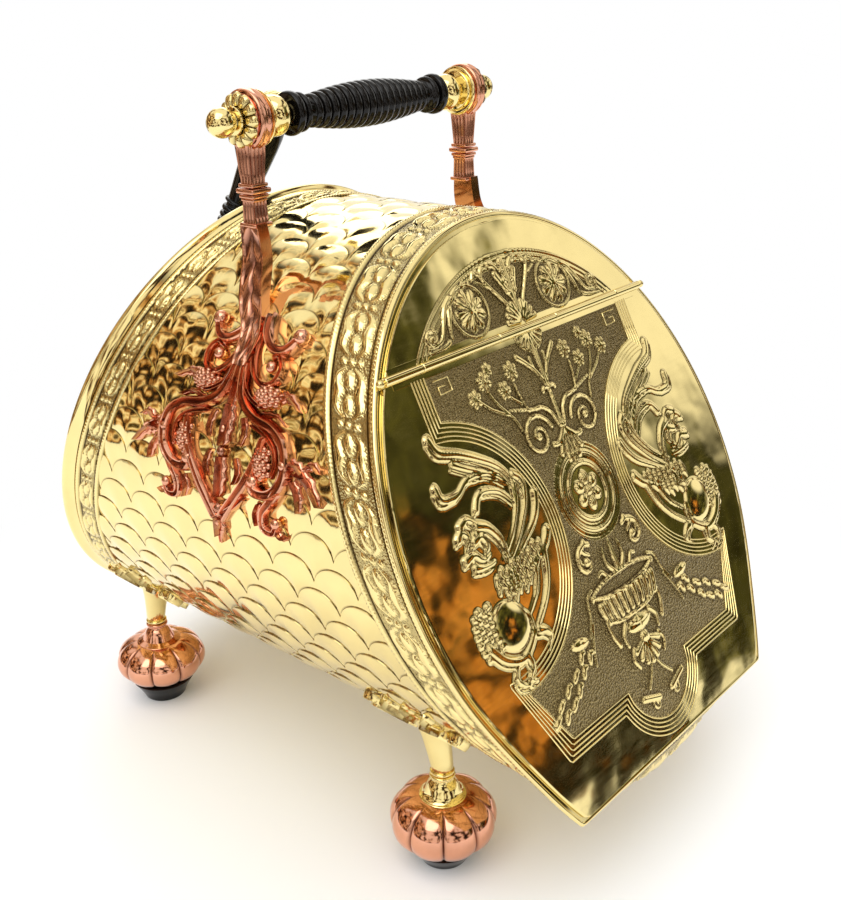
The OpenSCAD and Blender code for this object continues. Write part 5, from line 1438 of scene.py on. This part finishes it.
class SCUTTLE_OT_feet(bpy.types.Operator):
    """Turns the four feet: flared leg with scrolls, bell collar, lobed copper bun and black base"""

    bl_idname = "scuttle.feet"
    bl_label = "Feet"

    def execute(self, context):
        lobes = context.scene.scuttle_sizes.bun_lobes
        feet = ("front_left", "front_right", "rear_left", "rear_right")
        bun = turned("bun", [(0, 0.0), (15.0, 0.0)] + arc(15, 17, 18, 17, -86, 92, 24)
                     + [(15.2, 33.2), (14.8, 30.2), (0, 30.2)], lobes * 18)
        p = points_of(bun)
        turn = np.arctan2(p[:, 1], p[:, 0]) + 0.35
        from_groove = np.abs((turn * lobes / (2 * np.pi) + 0.5) % 1 - 0.5) * 2 * np.pi * 30 / lobes
        r = np.hypot(p[:, 0], p[:, 1])
        shoulder = np.clip((r - 14.9) / 9, 0, 1)
        cut = np.exp(-((from_groove / 0.9) ** 2)) * shoulder
        swell = 1.5 * (1 - np.clip(from_groove / 10.5, 0, 1)) ** 1.8 * shoulder
        move_points(bun, pressed_in(p, 1.1 * cut + swell))
        # painted shade in the grooves between the lobes
        note_value(bun, "shade_and_tarnish", cut * 0.85)
        collar = turned("collar", [(3.2, 0.1), (13.5, 0.1)] + arc(14.6, 1.7, 1.4, 1.5, -90, 70, 6) + [(14.2, 3.4)]
                        + arc(13.6, 4.1, 0.8, 0.6, -60, 90, 4) + [(12.8, 5.2), (11.6, 6.4), (10.7, 8.4), (9.8, 10.8),
                        (8.6, 13.0), (7.2, 14.6), (6.3, 15.6), (6.2, 16.4)]
                        + arc(6.6, 18.2, 1.3, 1.3, -90, 90, 5) + [(3.2, 20.0)], 64)
        base = turned("base", [(0, 0), (13.8, 0)] + arc(13.9, 1.1, 1.1, 1.1, -90, 0, 3) + [(18.4, 6.5), (22.0, 11.2)]
                      + [(22.4, 11.95), (17, 13.9), (0, 13.9)], 64)
        shapes = {"bun": points_of(bun), "collar": points_of(collar), "base": points_of(base)}
        made = {"bun": bun, "collar": collar, "base": base}
        look = {"bun": ("copper", "copper"), "collar": ("brass", "brass"), "base": ("black_wood", "wood")}
        titles = {"bun": "lobed_bun_", "collar": "bell_collar_", "base": "black_base_"}
        for foot in feet:
            x, y = foot_place(foot)
            for kind in ("bun", "collar", "base"):
                slot, finish = look[kind]
                if kind == "collar" and "rear" in foot:
                    finish = "copper"
                one = made[kind] if foot == feet[-1] else copied(made[kind], kind)
                shape = shapes[kind].copy()
                if "rear" in foot:
                    shape = self.rear_foot_form(kind, shape)
                move_points(one, shape + [x, y, low_of(kind + "_" + foot)])
                one.name = one.data.name = titles[kind] + foot
                finished(one, "scuttle", slot, finish, kind + "_" + foot, angle=40)
        for end in ("front", "rear"):
            left = self.leg(end + "_left")
            right = mirrored(left, "scrolled_leg_" + end + "_right")
            finished(left, "scuttle", "brass", "chased", "leg_" + end + "_left", angle=45)
            finished(right, "scuttle", "brass", "chased", "leg_" + end + "_right", angle=45)
        return {"FINISHED"}

    @staticmethod
    def rear_foot_form(kind, shape):
        """The rear feet differ in the photograph: a flatter bun, a taller base and a wider collar."""
        if kind == "bun":
            shape[:, 2] = 34 - (34 - shape[:, 2]) * 0.88
        elif kind == "base":
            shape[:, 2] *= 1.27
            shape[:, :2] *= 1.04
        else:
            shape[:, :2] *= np.where(shape[:, 2:] < 6, 1.12, 1.0)
        return shape

    @staticmethod
    def leg(foot):
        x, y = foot_place(foot)
        lean = LEG_LEAN if "front" in foot else -LEG_LEAN
        low = low_of("leg_" + foot)
        top = AXIS_Z - math.sqrt(DRUM_R**2 - (abs(x) + 16) ** 2)
        high = top - low + 4
        neck = turned("neck", [(0, 0.05)] + arc(6.4, 1.2, 1.2, 1.1, -90, 90, 5) + [(6.5, 3.0), (6.9, 4.0)]
                      + [(6.9 + 4.4 * t ** 1.1, 4 + (high - 4) * t) for t in np.linspace(0.08, 1, 12)] + [(0, high)], 48)
        p = points_of(neck)
        # the neck leans out along the drum, spreads fore and aft under it and stops at its sheet
        rise = np.clip((p[:, 2] - 4) / (high - 4), 0, 1)
        spread = 1 + 2.0 * np.clip((rise - 0.35) / 0.65, 0, 1) ** 2.2
        p = p * np.stack([1 + 0.25 * rise**2, spread, np.ones_like(spread)], -1) + [x, y, low]
        p[:, 1] += lean * rise
        ceiling = AXIS_Z - np.sqrt(np.maximum((DRUM_R + 0.2) ** 2 - p[:, 0] ** 2, 0))
        p[:, 2] = np.minimum(p[:, 2], ceiling)
        move_points(neck, p)
        note_value(neck, "shade_and_tarnish")
        y = y + lean
        s_foot = DRUM_R * (math.pi - math.asin(min(1, (abs(x) + 4) / DRUM_R)))
        pieces = [neck]
        # scrolls run fore and aft under a row of leaves that lie up the drum's side
        for flank in (-1, 1):
            for points, wide_from, wide_to, tall, kind in (
                    ([(6, 2), (16, 6), (26, 3), (33, -3), (31, -9), (25, -8)], 9.0, 4.5, 4.6, "scroll"),
                    ([(3, -8), (14, -10), (24, -16)], 10.0, 4.0, 4.0, "leaf"),
                    ([(6, -10), (16, -20), (15, -28)], 9.0, 4.0, 3.8, "leaf"),
                    ([(8, 6), (17, 12), (22, 19)], 8.0, 3.4, 3.4, "leaf"),
                    ([(20, -2), (28, -12), (36, -14), (38, -8)], 5.0, 3.4, 3.8, "scroll")):
                pieces.append(scroll_piece(y, [(flank * a, s_foot + b) for a, b in points], wide_from * 1.15,
                                           wide_to * 1.2, tall * 1.4, kind, heights=False))
        for rises, *form in (((-8, -18, -30), 12.0, 6.0, 4.6), ((8, 15, 22), 10.0, 4.0, 3.6)):
            pieces.append(scroll_piece(y, [(0, s_foot + b) for b in rises], *form, "leaf", heights=False))
        leg = joined("scrolled_leg_" + foot, pieces)
        note_value(leg, "ground")
        return leg


# ------------------------------------------------------------------ shovel and plain solids


class SCUTTLE_OT_shovel(bpy.types.Operator):
    """Turns the shovel's black handle, brass ferrule and gadrooned finial"""

    bl_idname = "scuttle.shovel"
    bl_label = "Shovel"

    def execute(self, context):
        finial_from = SHOVEL_LEN - SHOVEL_FINIAL
        handle_from = finial_from - SHOVEL_HANDLE

        def up_shovel(z):
            return lambda p: in_shovel(p + np.array([0, 0, z]))

        profile = [(4.55, 0.1), (7.2, 0.1)]
        for i in range(7):
            z = 3.4 + i * 4.7
            profile += arc(8.4, z, 1.7, 1.9, -90, 90, 5) + [(8.0, z + 2.35)]
        profile += arc(8.2, 37.6, 1.9, 1.4, -90, 90, 5) + [
            (8.2, 40.4), (9.2, 52), (10.4, 66), (11.3, 80), (11.5, 88), (11.0, 95), (9.2, 101),
            (7.4, SHOVEL_HANDLE), (0, SHOVEL_HANDLE)]
        handle = turned("turned_shovel_handle", profile, 56)
        placed(handle, up_shovel(handle_from))
        finished(handle, "shovel", "black_wood", "wood", "shovel_handle", angle=50)
        ferrule = turned("shovel_ferrule_ring", [(4.52, 0), (6.4, 0)] + arc(6.6, 2.4, 1.4, 2.2, -90, 90, 5)
                         + [(6.2, 5.4), (6.4, 8)] + arc(7.6, 10.2, 1.4, 1.6, -90, 90, 4)
                         + [(8.6, 12.2), (8.8, 14.5), (8.4, 15.95), (4.52, 15.95), (4.52, 0)], 56)
        placed(ferrule, up_shovel(handle_from - SHOVEL_FERRULE))
        finished(ferrule, "shovel", "brass", "brass", "shovel_ferrule")
        dome = turned("gadrooned_finial", [(0, 0.05), (7, 0.05), (9, 2)] + arc(10.4, 3.4, 1.6, 1.2, -90, 60, 4)
                      + arc(0, 4.8, 11.4, 8, 0, 80, 10) + [(0, 12.9)], 96)
        p = points_of(dome)
        turn, r = np.arctan2(p[:, 1], p[:, 0]), np.hypot(p[:, 0], p[:, 1])
        cut = (0.5 - 0.5 * np.cos(12 * turn)) ** 3 * (p[:, 2] > 4.9) * np.clip((r - 1.5) / 3, 0, 1)
        move_points(dome, up_shovel(finial_from)(pressed_in(p, 0.9 * cut)))
        finished(dome, "shovel", "brass", "brass", "shovel_finial")
        return {"FINISHED"}


class SCUTTLE_OT_plain_solids(bpy.types.Operator):
    """Gives the solids that stay in sight the finish of what they are made of"""

    bl_idname = "scuttle.plain_solids"
    bl_label = "Finish of the plain solids"

    def execute(self, context):
        slots = {row["node"]: row.get("material_slot") for row in frame["record"]["subparts"]}
        finishes = {"brass": "brass", "copper": "copper", "black_wood": "wood", "steel": "steel",
                    "black_sheet": "sheet"}
        for name, node in frame["nodes"].items():
            if node.hide_render:
                continue
            material = finish_of(finishes[slots[name]])
            node.data.materials.clear()
            node.data.materials.append(material)
        return {"FINISHED"}


# ------------------------------------------------------------------ stage


class SCUTTLE_OT_stage(bpy.types.Operator):
    """Sets the pale floor, the white surroundings, the soft lamps and the camera"""

    bl_idname = "scuttle.stage"
    bl_label = "Floor, light and camera"

    def execute(self, context):
        scene = context.scene
        scene.view_settings.view_transform = "Standard"
        self.floor()
        self.surroundings(scene)
        self.lamps()
        self.camera(scene)
        return {"FINISHED"}

    @staticmethod
    def floor():
        clear_selection()
        bpy.ops.mesh.primitive_grid_add(x_subdivisions=8, y_subdivisions=8, size=2.5)
        floor = bpy.context.object
        floor.name = "floor"
        # matt white board that fades into the white surroundings away from the object
        material = bpy.data.materials.new("matt_white_board")
        tree = empty_tree(material)
        colour = hex_colour(bpy.context.scene.scuttle_colours.floor)
        matt = add_node(tree, "ShaderNodeBsdfDiffuse", {"Color": colour})
        white = add_node(tree, "ShaderNodeEmission", {"Color": WHITE, "Strength": 1.0})
        place = add_node(tree, "ShaderNodeTexCoord").outputs["Object"]
        far = add_node(tree, "ShaderNodeVectorMath", {"operation": "LENGTH"}, {0: place})
        factor = add_node(tree, "ShaderNodeMath", {"operation": "MULTIPLY"},
                          {0: smooth_step(tree, far.outputs["Value"], 0.19, 0.52), 1: seen_directly(tree)})
        mixed = add_node(tree, "ShaderNodeMixShader",
                         links={0: factor.outputs[0], 1: matt.outputs[0], 2: white.outputs[0]})
        add_node(tree, "ShaderNodeOutputMaterial", links={"Surface": mixed.outputs[0]})
        floor.data.materials.append(material)

    @staticmethod
    def surroundings(scene):
        """White to the eye. Polished metal sees the same white room with brown furniture and dark
        openings near eye level, which give it its dark and copper-red reflections."""
        world = bpy.data.worlds.new("white_room")
        scene.world = world
        tree = empty_tree(world)
        direction = add_node(tree, "ShaderNodeTexCoord").outputs["Generated"]
        axes = add_node(tree, "ShaderNodeSeparateXYZ", links={0: direction})

        def toward(aim, near, far):
            """1 in the directions round one aim, fading to 0 away from it."""
            dot = add_node(tree, "ShaderNodeVectorMath", {"operation": "DOT_PRODUCT", 1: aim}, {0: direction})
            return smooth_step(tree, dot.outputs["Value"], far, near)

        def over(under, top, factor):
            mix = add_node(tree, "ShaderNodeMix", {"data_type": "RGBA"}, {0: factor, 6: under, 7: top})
            return mix.outputs[2]

        def noise_of(scale, distortion, place):
            shifted = add_node(tree, "ShaderNodeMapping", {"Scale": (1.0, 1.0, 1.5), "Location": place},
                               {"Vector": direction})
            return add_node(tree, "ShaderNodeTexNoise",
                            {"Scale": scale, "Detail": 2.5, "Roughness": 0.52, "Distortion": distortion},
                            {"Vector": shifted.outputs[0]}).outputs["Fac"]

        room = colour_ramp(tree, noise_of(3.4, 0.0, (0.35, 0.1, 0.2)), [
            (0.40, (0.015, 0.01, 0.007, 1)), (0.45, (0.10, 0.055, 0.03, 1)), (0.48, (0.35, 0.2, 0.1, 1)),
            (0.52, (0.95, 0.9, 0.8, 1)), (0.60, (1.15, 1.13, 1.08, 1))])
        # brown furniture and firelight beyond the board, which the drum's flank faces
        furniture = colour_ramp(tree, noise_of(4.2, 0.9, (0.1, 0.4, 0.2)), [
            (0.42, (0.015, 0.008, 0.003, 1)), (0.47, (0.08, 0.035, 0.010, 1)), (0.50, (0.50, 0.20, 0.045, 1)),
            (0.54, (0.95, 0.62, 0.30, 1)), (0.575, (1.25, 1.15, 0.95, 1)), (0.61, (0.5, 0.32, 0.12, 1)),
            (0.66, (0.04, 0.028, 0.010, 1))])
        colour = over(room, furniture, toward((-0.45, 0.78, 0.36), 0.80, 0.62))
        # shade before the lid, and the fire low down in it
        patches = noise_of(9.0, 0.6, (0.35, 0.1, 0.2))
        shade = colour_ramp(tree, patches, [
            (0.36, (0.010, 0.009, 0.002, 1)), (0.50, (0.045, 0.045, 0.012, 1)), (0.60, (0.12, 0.12, 0.035, 1)),
            (0.70, (0.45, 0.42, 0.18, 1))])
        fire = colour_ramp(tree, patches, [
            (0.50, (0.010, 0.009, 0.003, 1)), (0.53, (0.06, 0.03, 0.008, 1)), (0.55, (0.5, 0.16, 0.02, 1)),
            (0.61, (0.95, 0.40, 0.09, 1)), (0.65, (0.06, 0.05, 0.015, 1))])
        colour = over(colour, shade, toward((0.686, -0.672, 0.20), 0.93, 0.82))
        colour = over(colour, fire, toward((0.630, -0.770, 0.09), 0.994, 0.980))
        pale = add_node(tree, "ShaderNodeRGB")
        pale.outputs[0].default_value = (1.1, 1.08, 1.02, 1)
        # pale wall to the right of the lid, ceiling, and windows behind the drum
        colour = over(colour, pale.outputs[0], toward((0.86, -0.42, 0.28), 0.988, 0.972))
        colour = over(colour, pale.outputs[0], smooth_step(tree, axes.outputs["Z"], 0.74, 0.86))
        colour = over(colour, pale.outputs[0], toward((-0.10, 0.72, 0.68), 0.992, 0.972))
        colour = over(colour, pale.outputs[0], toward((0.62, 0.68, 0.38), 0.95, 0.88))
        room_light = add_node(tree, "ShaderNodeBackground", {"Strength": 1.0}, {"Color": colour})
        fill = add_node(tree, "ShaderNodeBackground", {"Color": WHITE, "Strength": 1.1})
        white = add_node(tree, "ShaderNodeBackground", {"Color": WHITE, "Strength": 1.0})
        path = add_node(tree, "ShaderNodeLightPath")
        lit = add_node(tree, "ShaderNodeMixShader",
                       links={0: path.outputs["Is Glossy Ray"], 1: fill.outputs[0], 2: room_light.outputs[0]})
        out = add_node(tree, "ShaderNodeMixShader",
                       links={0: seen_directly(tree), 1: lit.outputs[0], 2: white.outputs[0]})
        add_node(tree, "ShaderNodeOutputWorld", links={"Surface": out.outputs[0]})

    @staticmethod
    def lamps():
        """Two soft window-like lamps: a large one overhead to the left and a smaller one behind."""
        for name, place, size, power in (("overhead_left", (-0.9, -0.3, 1.7), 1.3, 9.0),
                                         ("behind_right", (0.9, 1.1, 1.3), 0.9, 4.0)):
            data = bpy.data.lights.new(name, "AREA")
            data.shape, data.size, data.energy = "SQUARE", size, power
            lamp = bpy.data.objects.new(name, data)
            lamp.location = place
            lamp.rotation_euler = (Vector((0, 0, 0.2)) - Vector(place)).to_track_quat("-Z", "Y").to_euler()
            bpy.context.scene.collection.objects.link(lamp)

    @staticmethod
    def camera(scene):
        data = bpy.data.cameras.new("camera")
        camera = bpy.data.objects.new("camera", data)
        scene.collection.objects.link(camera)
        right = Vector((0.66083408, -0.74991061, -0.03053528))
        up = Vector((0.30355052, 0.22984236, 0.92467809))
        ahead = Vector((0.68640761, 0.62032779, -0.37952342))
        turn = Matrix((right, up, -ahead)).transposed()
        camera.matrix_world = Matrix.Translation((-0.53293, -0.49137, 0.50011)) @ turn.to_4x4()
        data.sensor_width = 36.0
        data.lens = 45.527
        data.shift_x, data.shift_y = 0.01179, -0.00067
        data.clip_start, data.clip_end = 0.01, 50
        scene.camera = camera


# ------------------------------------------------------------------ panel and run


class SCUTTLE_PT_panel(bpy.types.Panel):
    """Lists the scuttle's pieces and its sizes and colours"""

    bl_idname = "SCUTTLE_PT_panel"
    bl_label = "Coal Scuttle"
    bl_space_type = "VIEW_3D"
    bl_region_type = "UI"
    bl_category = "Coal Scuttle"

    def draw(self, context):
        column = self.layout.column()
        for group in (context.scene.scuttle_sizes, context.scene.scuttle_colours):
            for key in group.__annotations__:
                column.prop(group, key)
        for operator in PIECES:
            column.operator(operator.bl_idname)


PIECES = (
    SCUTTLE_OT_drum, SCUTTLE_OT_bands, SCUTTLE_OT_lid, SCUTTLE_OT_hinge, SCUTTLE_OT_brackets,
    SCUTTLE_OT_arms, SCUTTLE_OT_grip, SCUTTLE_OT_feet, SCUTTLE_OT_shovel, SCUTTLE_OT_plain_solids,
    SCUTTLE_OT_stage,
)
CLASSES = (ScuttleSizes, ScuttleColours) + PIECES + (SCUTTLE_PT_panel,)


def register():
    for cls in CLASSES:
        bpy.utils.register_class(cls)
    bpy.types.Scene.scuttle_sizes = bpy.props.PointerProperty(type=ScuttleSizes)
    bpy.types.Scene.scuttle_colours = bpy.props.PointerProperty(type=ScuttleColours)


def unregister():
    del bpy.types.Scene.scuttle_colours
    del bpy.types.Scene.scuttle_sizes
    for cls in reversed(CLASSES):
        bpy.utils.unregister_class(cls)


def main():
    register()
    for operator in PIECES:
        group, name = operator.bl_idname.split(".")
        getattr(getattr(bpy.ops, group), name)()
    bpy.context.view_layer.update()


if __name__ == "__main__":
    main()
